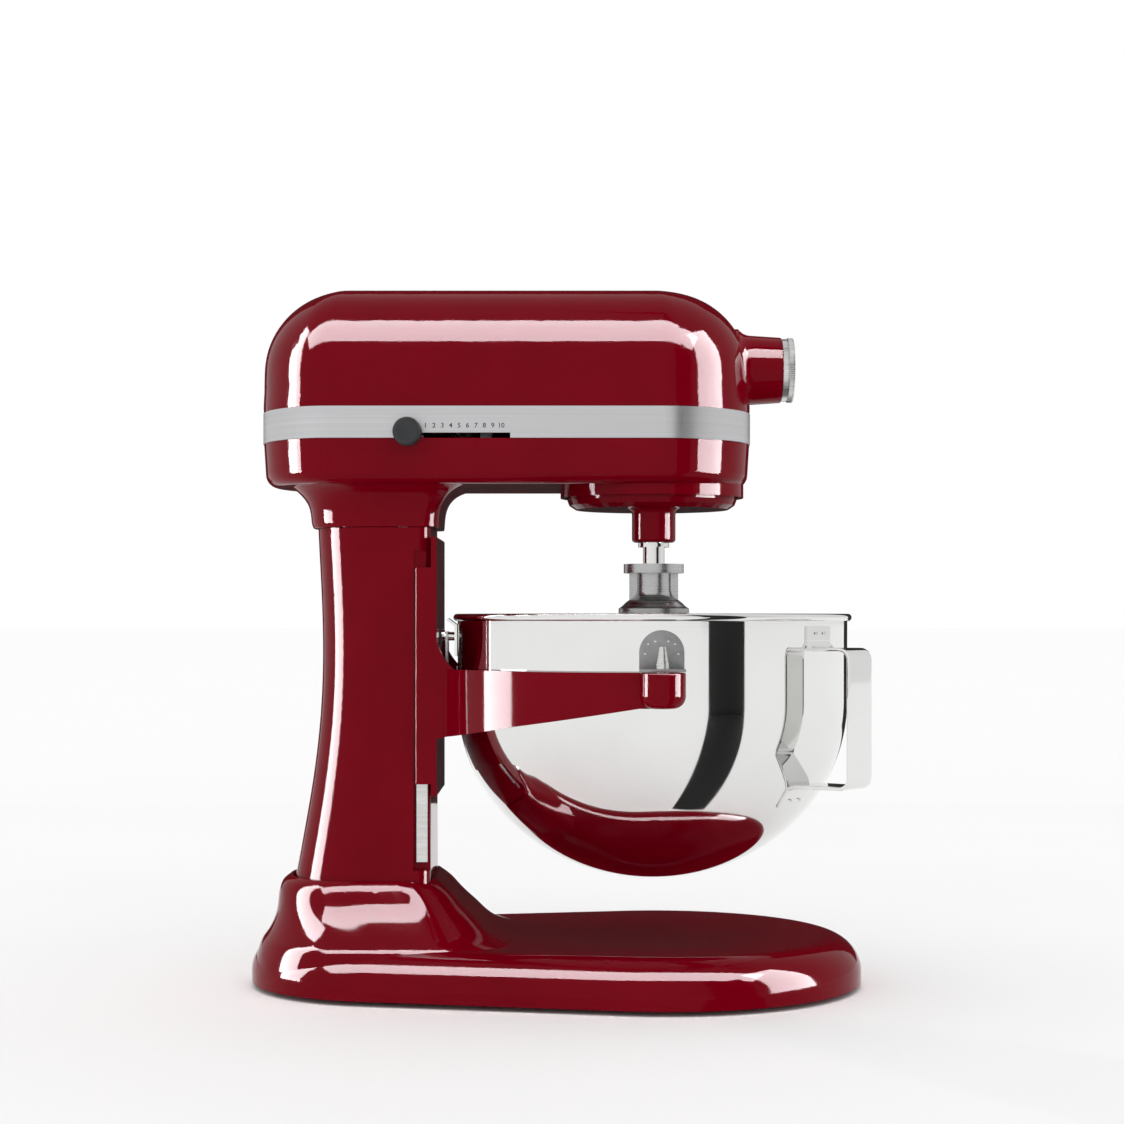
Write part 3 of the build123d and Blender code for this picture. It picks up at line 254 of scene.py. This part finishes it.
def make_finishes():
    colours = bpy.context.scene.mixer_colours
    paint, steel = tuple(colours.enamel), tuple(colours.steel)
    FINISH.update(
        red_enamel=enamel(paint),
        brushed_band=brushed("brushed_band", tuple(colours.band), (0.05, 0.05, 55), (0.3, 0.42), 0.00001),
        turned_aluminium=brushed("turned_aluminium", (0.5, 0.5, 0.5), (0.1, 0.1, 40), (0.22, 0.34)),
        polished_steel=polished("polished_steel", steel, (BOWL_X, 0, 0)),
        satin_steel=brushed("satin_steel", shade(steel, 0.85), (1, 1, 12), (0.22, 0.34)),
        matte_steel=cast("matte_steel", (0.34, 0.34, 0.34), (0.42, 0.52)),
        cast_aluminium=cast("cast_aluminium", (0.56, 0.56, 0.55), (0.22, 0.38)),
        charcoal_plastic=moulded("charcoal_plastic", tuple(colours.knob)),
        black_rubber=moulded("black_rubber", (0.02, 0.02, 0.021), (0.6, 0.8)),
        bright_zinc=cast("bright_zinc", (0.6, 0.6, 0.58), (0.25, 0.4)),
        gear_steel=cast("gear_steel", (0.42, 0.42, 0.43), (0.25, 0.4)),
        bronze=cast("bronze", (0.5, 0.33, 0.16), (0.35, 0.5)),
        lamination=brushed("lamination", (0.2, 0.2, 0.21), (30, 1, 1), (0.4, 0.6)),
        copper_winding=windings("copper_winding", (0.5, 0.2, 0.07)),
        carbon=moulded("carbon", (0.02, 0.02, 0.02)),
        board=moulded("board", (0.02, 0.16, 0.06)),
        nylon=moulded("nylon", (0.62, 0.6, 0.52)),
        black_ink=moulded("black_ink", (0.02, 0.02, 0.022)),
        # near-black finish: the black studio card's own colour, and painted shade on the speed guide seen
        # through the slot
        dark_gap=moulded("dark_gap", (0.004, 0.004, 0.004)),
    )


def dress_frame():
    """Give every CAD node its finish."""
    for entry in frame["record"]["subparts"]:
        node = frame["nodes"][entry["node"]]
        node.data.materials.clear()
        finish = OWN_FINISH.get(entry["node"], entry["material_slot"])
        node.data.materials.append(FINISH[finish])


# ---------------------------------------------------------------- mesh helpers
def finish_piece(mesh_data, name, finish, body, replaced=(), smooth=30.0):
    """Turn a bmesh into a piece that rides on a body and stands for CAD nodes."""
    bmesh.ops.remove_doubles(mesh_data, verts=mesh_data.verts, dist=MERGE)
    bmesh.ops.recalc_face_normals(mesh_data, faces=mesh_data.faces)
    mesh = bpy.data.meshes.new(name)
    mesh_data.to_mesh(mesh)
    mesh_data.free()
    mesh.materials.append(FINISH[finish])
    piece = bpy.data.objects.new(name, mesh)
    bpy.context.scene.collection.objects.link(piece)
    for face in mesh.polygons:
        face.use_smooth = True
    mesh.set_sharp_from_angle(angle=math.radians(smooth))
    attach(piece, body)
    for node in replaced:
        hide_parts(node)
    return piece


def arc(centre, radius, start, end, steps):
    """Points on an arc in the profile plane, angles in degrees."""
    points = []
    for n in range(steps + 1):
        angle = math.radians(start + (end - start) * n / steps)
        points.append((centre[0] + radius * math.cos(angle), centre[1] + radius * math.sin(angle)))
    return points


def lathe(mesh_data, profile, centre, axis="Z", segments=96):
    """Spin a profile of (radius, height) round an axis through centre."""
    across = Vector((0, 0, 1)) if axis == "X" else Vector((1, 0, 0))
    along = Vector([float(name == axis) for name in "XYZ"])
    verts = [mesh_data.verts.new(centre + across * r + along * h) for r, h in profile]
    edges = [mesh_data.edges.new(pair) for pair in zip(verts, verts[1:])]
    bmesh.ops.spin(
        mesh_data, geom=verts + edges, cent=centre, axis=along, angle=math.tau, steps=segments,
        use_merge=True,
    )
    bmesh.ops.remove_doubles(mesh_data, verts=mesh_data.verts, dist=MERGE)


def soften(mesh_data, edges, offset, segments=2):
    """Round the given edges."""
    bmesh.ops.bevel(
        mesh_data, geom=list(edges), offset=offset, segments=segments, profile=0.5, material=-1,
        affect="EDGES",
    )


def add_box(mesh_data, low, high, bevel):
    """A box between two corners, with its edges rounded."""
    size = Vector(high) - Vector(low)
    place = Matrix.Translation((Vector(low) + Vector(high)) / 2) @ Matrix.Diagonal((*size, 1))
    made = bmesh.ops.create_cube(mesh_data, size=1.0, matrix=place)
    soften(mesh_data, {edge for vert in made["verts"] for edge in vert.link_edges}, bevel, 3)


def move_new(mesh_data, geometry, by):
    """Move the corners among newly made geometry."""
    corners = [item for item in geometry if isinstance(item, bmesh.types.BMVert)]
    bmesh.ops.translate(mesh_data, verts=corners, vec=by)


# ---------------------------------------------------------------- studio
def soft_box(name, place, aim, size, power):
    """A soft box that only the enamel shows, as a bright strip along its edges."""
    light = bpy.data.lights.new(name, "AREA")
    light.shape = "RECTANGLE"
    light.size, light.size_y = size
    light.energy = power
    lamp = bpy.data.objects.new(name, light)
    lamp.location = place
    lamp.rotation_mode = "QUATERNION"
    lamp.rotation_quaternion = (Vector(aim) - Vector(place)).to_track_quat("-Z", "Y")
    bpy.context.scene.collection.objects.link(lamp)
    lamp.visible_diffuse = False
    lamp.visible_camera = False
    lamp.light_linking.receiver_collection = bpy.data.collections["enamelled"]


def dark_card(name, corners):
    """A dark card of four-cornered panels that only mirror-like surfaces show."""
    card = bmesh.new()
    rows = [[card.verts.new(corner) for corner in row] for row in corners]
    for near, far in zip(rows, rows[1:]):
        card.faces.new((near[0], near[1], far[1], far[0]))
    mesh = bpy.data.meshes.new(name)
    card.to_mesh(mesh)
    card.free()
    board = bpy.data.objects.new(name, mesh)
    mesh.materials.append(FINISH["dark_gap"])
    bpy.context.scene.collection.objects.link(board)
    board.visible_camera = board.visible_diffuse = board.visible_shadow = False


def make_world(scene):
    """Even white light for the camera and the surfaces, and the screens for reflections."""
    world = bpy.data.worlds.new("studio")
    world.use_nodes = True
    scene.world = world
    nodes, links = world.node_tree.nodes, world.node_tree.links
    rays = nodes.new("ShaderNodeLightPath")
    place = nodes.new("ShaderNodeTexCoord")
    turn = nodes.new("ShaderNodeMapping")
    turn.inputs["Rotation"].default_value = (0, 0, math.radians(90))
    around = nodes.new("ShaderNodeTexGradient")
    around.gradient_type = "RADIAL"
    ramp = nodes.new("ShaderNodeValToRGB")
    links.new(place.outputs["Generated"], turn.inputs["Vector"])
    links.new(turn.outputs["Vector"], around.inputs["Vector"])
    links.new(around.outputs["Fac"], ramp.inputs["Fac"])
    stops = ramp.color_ramp.elements
    stops[0].position, stops[1].position = 0.0, 1.0
    stops[0].color = stops[1].color = (0.7, 0.7, 0.7, 1)
    for position, value in SCREENS:
        stops.new(position).color = (value, value, value, 1)
    reflected = nodes.new("ShaderNodeMix")
    reflected.data_type = "RGBA"
    reflected.inputs["A"].default_value = (1, 1, 1, 1)
    links.new(rays.outputs["Is Glossy Ray"], reflected.inputs["Factor"])
    links.new(ramp.outputs["Color"], reflected.inputs["B"])
    seen = nodes.new("ShaderNodeMix")
    seen.data_type = "RGBA"
    seen.inputs["B"].default_value = (1, 1, 1, 1)
    links.new(rays.outputs["Is Camera Ray"], seen.inputs["Factor"])
    links.new(reflected.outputs["Result"], seen.inputs["A"])
    links.new(seen.outputs["Result"], nodes["Background"].inputs["Color"])
    nodes["Background"].inputs["Strength"].default_value = 1.0


def make_floor(scene):
    """Wide pale floor."""
    floor_mesh = bmesh.new()
    bmesh.ops.create_grid(floor_mesh, x_segments=1, y_segments=1, size=40)
    mesh = bpy.data.meshes.new("floor")
    floor_mesh.to_mesh(mesh)
    floor_mesh.free()
    floor = bpy.data.objects.new("floor", mesh)
    scene.collection.objects.link(floor)
    floor_material, shader = new_material("pale_floor", (0.999, 0.999, 0.999), 0.0, 0.8)
    vary(floor_material, shader, noise(floor_material, 3), "Roughness", 0.75, 0.85)
    mesh.materials.append(floor_material)


def make_camera(scene):
    """Long lens, level with the bowl's rim and raised by its shift."""
    lens = bpy.data.cameras.new("studio_camera")
    lens.sensor_width = 36
    lens.lens = 71.9
    lens.shift_y = 0.049
    camera = bpy.data.objects.new("studio_camera", lens)
    camera.location = (3.4 * MM, -1.370, 0.2227)
    camera.rotation_euler = (math.radians(90), 0, 0)
    scene.collection.objects.link(camera)
    scene.camera = camera


def make_stage():
    """Floor, cards, soft boxes and camera, in even white light."""
    scene = bpy.context.scene
    make_world(scene)
    make_floor(scene)
    enamelled = bpy.data.collections.new("enamelled")
    for entry in frame["record"]["subparts"]:
        if entry["material_slot"] == "red_enamel":
            enamelled.objects.link(frame["nodes"][entry["node"]])
    dark_card("side_card", [
        [(0.082, -0.128, 0.001), (0.128, -0.112, 0.001)],
        [(0.785, -1.312, 0.001), (1.21, -0.96, 0.001)],
        [(0.785, -1.312, 2.2), (1.21, -0.96, 2.2)],
    ])
    dark_card("back_card", [
        [(-0.9, 1.3, 0.001), (0.9, 1.3, 0.001)],
        [(-0.9, 1.3, 1.6), (0.9, 1.3, 1.6)],
    ])
    soft_box("front_box", (-0.03, -0.79, 1.47), (-0.03, -0.06, 0.39), (3.4, 0.8), 760)
    soft_box("left_box", (-1.36, -0.08, 0.65), (-0.15, -0.04, 0.65), (0.49, 1.9), 260)
    soft_box("right_box", (1.25, -0.33, 0.65), (0.09, -0.04, 0.65), (0.71, 1.9), 370)
    make_camera(scene)
    scene.view_settings.view_transform = "Standard"


# ---------------------------------------------------------------- bowl
def make_bowl():
    """Spun bowl with a rolled rim, a straight wall and a round bottom."""
    low, roll_r, steps = BOWL_LOW.z, 2.2 * MM, 40
    roll_z = BOWL_HIGH.z - roll_r - 0.05 * MM

    def curve(radius, height, floor_z):
        """Flat middle, then the round bottom up to the straight wall."""
        points = [(0.0, floor_z)]
        end = math.asin((BOWL_SPRING - floor_z) / height)
        for n in range(steps + 1):
            angle = end * (1 - n / steps)
            points.append((radius * math.cos(angle), BOWL_SPRING - height * math.sin(angle)))
        return points

    inner_r = BOWL_R - BOWL_WALL
    outside = curve(BOWL_R, BOWL_DEPTH, low)
    roll = arc((BOWL_R + 0.45 * MM, roll_z), roll_r, -100, 200, 22)
    inside = curve(inner_r, BOWL_DEPTH - BOWL_WALL, low + BOWL_WALL)[::-1]
    profile = outside + [(BOWL_R, 200 * MM)] + roll + [(inner_r, 217 * MM)] + inside
    shape = bmesh.new()
    lathe(shape, profile, Vector((BOWL_X, 0, 0)), segments=192)
    finish_piece(shape, "mixing_bowl_shell", "polished_steel", "mixing_bowl", ["bowl"], 40)


# ---------------------------------------------------------------- handle
def place_at_handle(mesh_data):
    """Turn a shape drawn on +X to the handle's place round the bowl."""
    place = Matrix.Translation((BOWL_X, 0, 0)) @ Matrix.Rotation(math.radians(HANDLE_TURN), 4, "Z")
    bmesh.ops.transform(mesh_data, matrix=place, verts=mesh_data.verts)


def wall_radius(height):
    """Outer radius of the bowl at a height."""
    drop = max(0.0, BOWL_SPRING - height) / BOWL_DEPTH
    return BOWL_R * math.sqrt(max(0.0, 1 - drop * drop))


def strap_path():
    """Side view of the handle: weld plate, top, grip, bottom and lower weld plate."""
    off, bend, corner, corner_x = 1.2 * MM, 3 * MM, 7 * MM, 139.6 * MM
    wall = BOWL_R + off
    path = [(wall, 217.5 * MM), (wall, 209 * MM)]
    path += arc((wall + bend, 208 * MM), bend, 180, 270, 6)
    path += arc((corner_x, 198 * MM), corner, 90, 0, 10)
    path += arc((corner_x, 131 * MM), corner, 0, -90, 10)
    path += [(110.5 * MM, 124 * MM)]
    path += [(wall_radius(z * MM) + off, z * MM) for z in (122.5, 119, 115.5, 112)]
    return path


def make_handle():
    """Bent strap handle with its two plates laid on the bowl's wall."""
    strap = bmesh.new()
    half, steps, thick = 12.5 * MM, 12, 2.0 * MM
    upper_plate, lower_plate = 206 * MM, 123.5 * MM
    verts = [strap.verts.new((x, -half, z)) for x, z in strap_path()]
    edges = [strap.edges.new(pair) for pair in zip(verts, verts[1:])]
    for _ in range(steps):
        made = bmesh.ops.extrude_edge_only(strap, edges=edges)["geom"]
        edges = [item for item in made if isinstance(item, bmesh.types.BMEdge)]
        edges = [edge for edge in edges if all(v in made for v in edge.verts)]
        move_new(strap, made, (0, 2 * half / steps, 0))
    for vert in strap.verts:
        wall = wall_radius(vert.co.z) + 1.3 * MM
        if vert.co.x < wall and not lower_plate <= vert.co.z <= upper_plate:
            vert.co.x -= wall - math.sqrt(wall ** 2 - vert.co.y ** 2)
    bmesh.ops.recalc_face_normals(strap, faces=strap.faces)
    bmesh.ops.solidify(strap, geom=strap.faces[:], thickness=thick)
    bmesh.ops.remove_doubles(strap, verts=strap.verts, dist=MERGE)
    sharp = [edge for edge in strap.edges if edge.calc_face_angle(0) > 1.0]
    soften(strap, sharp, 0.35 * MM)
    place_at_handle(strap)
    finish_piece(strap, "strap_handle", "polished_steel", "mixing_bowl", ["bowl_handle"], 40)


def make_weld_dimples():
    """Small spot-weld dimples on the plates of the handle and of the side brackets."""
    dimples = bmesh.new()
    plate_top = 2.05 * MM  # from the bowl's wall to the face of the handle's plates
    for height, spread in ((213.5 * MM, 4.3 * MM), (116 * MM, 4.6 * MM)):
        for side in (-1, 1):
            face = wall_radius(height) + plate_top
            place = Matrix.Translation((math.sqrt(face ** 2 - spread ** 2), side * spread, height))
            bmesh.ops.create_uvsphere(
                dimples, u_segments=16, v_segments=10, radius=0.9 * MM,
                matrix=place @ Matrix.Diagonal((0.4, 1, 1, 1)),
            )
    place_at_handle(dimples)
    for side in (-1, 1):
        for x, z in ((-9.2, 202), (9.2, 202), (-3.6, 209), (3.6, 209), (-7.4, 207.5), (7.4, 207.5)):
            place = Matrix.Translation((PLATE_X + x * MM, side * (PLATE_Y + 0.1 * MM), z * MM))
            bmesh.ops.create_uvsphere(
                dimples, u_segments=14, v_segments=8, radius=0.7 * MM,
                matrix=place @ Matrix.Diagonal((1, 0.35, 1, 1)),
            )
    finish_piece(dimples, "weld_dimples", "satin_steel", "mixing_bowl")


def make_side_brackets():
    """Arched plates welded to the bowl, with the drilled ears that sit on the pins."""
    plates = bmesh.new()
    low, high, ear_high, ear_out = 192.4 * MM, 215.4 * MM, 194 * MM, 137.3 * MM
    radius, wall, pin_y = 12.6 * MM, 118.5 * MM, 130.2 * MM
    hole = arc((PLATE_X, pin_y), 4.4 * MM, 0, 337.5, 15)
    for side in (-1, 1):
        outline = [(PLATE_X - radius, low), (PLATE_X + radius, low)]
        outline += arc((PLATE_X, high - radius), radius, 0, 180, 28)
        verts = [plates.verts.new((x, side * wall, z)) for x, z in outline]
        face = plates.faces.new(verts)
        grown = bmesh.ops.extrude_face_region(plates, geom=[face])["geom"]
        move_new(plates, grown, (0, side * (PLATE_Y - wall), 0))
        rim = [(1, pin_y), (1, ear_out), (0, ear_out), (-1, ear_out)]
        rim += [(-1, pin_y), (-1, wall), (0, wall), (1, wall)]
        rim = [(PLATE_X + share * radius, y) for share, y in rim]
        loops = []
        for ring in (rim, hole):
            around = [plates.verts.new((x, side * y, low)) for x, y in ring]
            loops += [plates.edges.new((around[n - 1], around[n])) for n in range(len(around))]
        ear = bmesh.ops.bridge_loops(plates, edges=loops)["faces"]
        grown = bmesh.ops.extrude_face_region(plates, geom=ear)["geom"]
        move_new(plates, grown, (0, 0, ear_high - low))
    bmesh.ops.recalc_face_normals(plates, faces=plates.faces)
    sharp = [edge for edge in plates.edges if edge.is_manifold and edge.calc_face_angle(0) > 1.0]
    soften(plates, sharp, 0.25 * MM)
    finish_piece(plates, "side_plates", "matte_steel", "mixing_bowl", ["side_brackets"], 35)


# ---------------------------------------------------------------- hub plug and knob
def make_plug():
    """Plug of the attachment hub, with a knurled edge and a dished face."""
    ridges = bpy.context.scene.mixer_sizes.ridges
    low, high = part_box("hub_plug")
    back, front, radius = low.x, high.x, (high.y - low.y) / 2
    flange = 136.6 * MM
    stem, disc, groove, edge, knurl = 12.6 * MM, 19.0 * MM, 18.5 * MM, 0.8 * MM, 0.45 * MM
    plug = bmesh.new()
    profile = [(0, back), (stem - 0.5 * MM, back), (stem, back + 0.5 * MM), (stem, flange)]
    profile += [(disc - 0.4 * MM, flange), (disc, flange + 0.4 * MM), (disc, 139.7 * MM)]
    profile += [(groove, 140.0 * MM), (groove, 140.3 * MM)]
    profile += [(radius - 0.1 * MM, 140.6 * MM), (radius - 0.1 * MM, front - 1.0 * MM)]
    profile += arc((radius - 0.1 * MM - edge, front - edge), edge, 0, 90, 5)
    profile += [(15.5 * MM, front), (14.8 * MM, front - 0.7 * MM), (0, front - 1.0 * MM)]
    lathe(plug, profile, Vector((0, 0, HUB_Z)), "X", ridges * 2)
    for vert in plug.verts:
        out = vert.co - Vector((vert.co.x, 0, HUB_Z))
        if out.length > radius - 0.4 * MM and vert.co.x < front - 0.9 * MM:
            turn = round(math.atan2(out.y, out.z) / math.tau * ridges * 2)
            if turn % 2:
                vert.co -= out.normalized() * knurl
    finish_piece(plug, "knurled_plug", "satin_steel", "plug", ["hub_plug"], 25)


def make_knob():
    """Round speed knob with a soft edge, a shallow dish and its stem through the slot."""
    low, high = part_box("speed_knob")
    centre = Vector(((low.x + high.x) / 2, 0, (low.z + high.z) / 2))
    radius, edge = (high.x - low.x) / 2, 2.2 * MM
    knob = bmesh.new()
    face, back = low.y, high.y
    profile = [(0, face + 0.7 * MM), (radius - 3.4 * MM, face + 0.25 * MM), (radius - 2.6 * MM, face)]
    profile += [(radius - edge + x, face + edge - y) for x, y in arc((0, 0), edge, 90, 0, 8)]
    profile += [(radius, back - 1.0 * MM), (radius - 0.6 * MM, back), (0, back)]
    lathe(knob, profile, centre, "Y", 72)
    stem = 3.4 * MM
    low, high = (centre.x - stem, -66.5 * MM, 327.5 * MM), (centre.x + stem, -65.2 * MM, 329.6 * MM)
    add_box(knob, low, high, 0.2 * MM)
    finish_piece(knob, "round_knob", "charcoal_plastic", "speed_lever", ["speed_knob"], 35)


def make_numbers():
    """Speed numbers printed on the band above the slot."""
    height = bpy.context.scene.mixer_sizes.digit
    first_x, last_x, base_z, count = -76 * MM, -32 * MM, 333.0 * MM, 10
    letter_size = 1.46  # of the font, for capitals of height 1
    numbers = bmesh.new()
    for n in range(count):
        curve = bpy.data.curves.new("number", "FONT")
        curve.body = str(n + 1)
        curve.align_x = "CENTER"
        curve.size = height * letter_size
        curve.offset = 0.045 * MM
        curve.extrude = 0.03 * MM
        text = bpy.data.objects.new("number", curve)
        bpy.context.scene.collection.objects.link(text)
        printed = bpy.data.meshes.new_from_object(text)
        x = first_x + (last_x - first_x) * n / (count - 1)
        place = Matrix.Translation((x, BAND_FRONT - 0.01 * MM, base_z))
        printed.transform(place @ Matrix.Rotation(math.radians(90), 4, "X"))
        numbers.from_mesh(printed)
        bpy.data.objects.remove(text)
        bpy.data.curves.remove(curve)
        bpy.data.meshes.remove(printed)
    finish_piece(numbers, "speed_numbers", "black_ink", "stand")


# ---------------------------------------------------------------- operators
class MIXER_OT_finishes(bpy.types.Operator):
    """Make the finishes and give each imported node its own"""
    bl_idname = "mixer.finishes"
    bl_label = "Finishes"
    bl_options = {"REGISTER", "UNDO"}

    def execute(self, context):
        make_finishes()
        dress_frame()
        return {"FINISHED"}


class MIXER_OT_stage(bpy.types.Operator):
    """Floor, lights and camera"""
    bl_idname = "mixer.stage"
    bl_label = "Studio"
    bl_options = {"REGISTER", "UNDO"}

    def execute(self, context):
        make_stage()
        return {"FINISHED"}


class MIXER_OT_bowl(bpy.types.Operator):
    """Spun steel bowl"""
    bl_idname = "mixer.bowl"
    bl_label = "Bowl"
    bl_options = {"REGISTER", "UNDO"}

    def execute(self, context):
        make_bowl()
        return {"FINISHED"}


class MIXER_OT_handle(bpy.types.Operator):
    """Strap handle of the bowl"""
    bl_idname = "mixer.handle"
    bl_label = "Handle"
    bl_options = {"REGISTER", "UNDO"}

    def execute(self, context):
        make_handle()
        return {"FINISHED"}


class MIXER_OT_side_brackets(bpy.types.Operator):
    """Arched plates that hold the bowl on its pins"""
    bl_idname = "mixer.side_brackets"
    bl_label = "Side brackets"
    bl_options = {"REGISTER", "UNDO"}

    def execute(self, context):
        make_side_brackets()
        return {"FINISHED"}


class MIXER_OT_dimples(bpy.types.Operator):
    """Spot-weld dimples on the bowl's plates"""
    bl_idname = "mixer.dimples"
    bl_label = "Weld dimples"
    bl_options = {"REGISTER", "UNDO"}

    def execute(self, context):
        make_weld_dimples()
        return {"FINISHED"}


class MIXER_OT_plug(bpy.types.Operator):
    """Knurled plug of the attachment hub"""
    bl_idname = "mixer.plug"
    bl_label = "Hub plug"
    bl_options = {"REGISTER", "UNDO"}

    def execute(self, context):
        make_plug()
        return {"FINISHED"}


class MIXER_OT_knob(bpy.types.Operator):
    """Knob of the speed lever"""
    bl_idname = "mixer.knob"
    bl_label = "Speed knob"
    bl_options = {"REGISTER", "UNDO"}

    def execute(self, context):
        make_knob()
        return {"FINISHED"}


class MIXER_OT_numbers(bpy.types.Operator):
    """Speed numbers on the band"""
    bl_idname = "mixer.numbers"
    bl_label = "Speed numbers"
    bl_options = {"REGISTER", "UNDO"}

    def execute(self, context):
        make_numbers()
        return {"FINISHED"}


# in the order in which they run
OPERATORS = (
    MIXER_OT_finishes, MIXER_OT_stage, MIXER_OT_bowl, MIXER_OT_handle, MIXER_OT_side_brackets,
    MIXER_OT_dimples, MIXER_OT_plug, MIXER_OT_knob, MIXER_OT_numbers,
)


class MIXER_PT_panel(bpy.types.Panel):
    """Lists the mixer's pieces"""
    bl_label = "Stand mixer"
    bl_idname = "MIXER_PT_panel"
    bl_space_type = "VIEW_3D"
    bl_region_type = "UI"
    bl_category = "Mixer"

    def draw(self, context):
        for operator in OPERATORS:
            self.layout.operator(operator.bl_idname)


CLASSES = (MixerColours, MixerSizes, *OPERATORS, MIXER_PT_panel)


def register():
    for cls in CLASSES:
        bpy.utils.register_class(cls)
    bpy.types.Scene.mixer_colours = bpy.props.PointerProperty(type=MixerColours)
    bpy.types.Scene.mixer_sizes = bpy.props.PointerProperty(type=MixerSizes)


def unregister():
    del bpy.types.Scene.mixer_sizes
    del bpy.types.Scene.mixer_colours
    for cls in reversed(CLASSES):
        bpy.utils.unregister_class(cls)


def main():
    register()
    for operator in OPERATORS:
        group, name = operator.bl_idname.split(".")
        getattr(getattr(bpy.ops, group), name)()


if __name__ == "__main__":
    main()
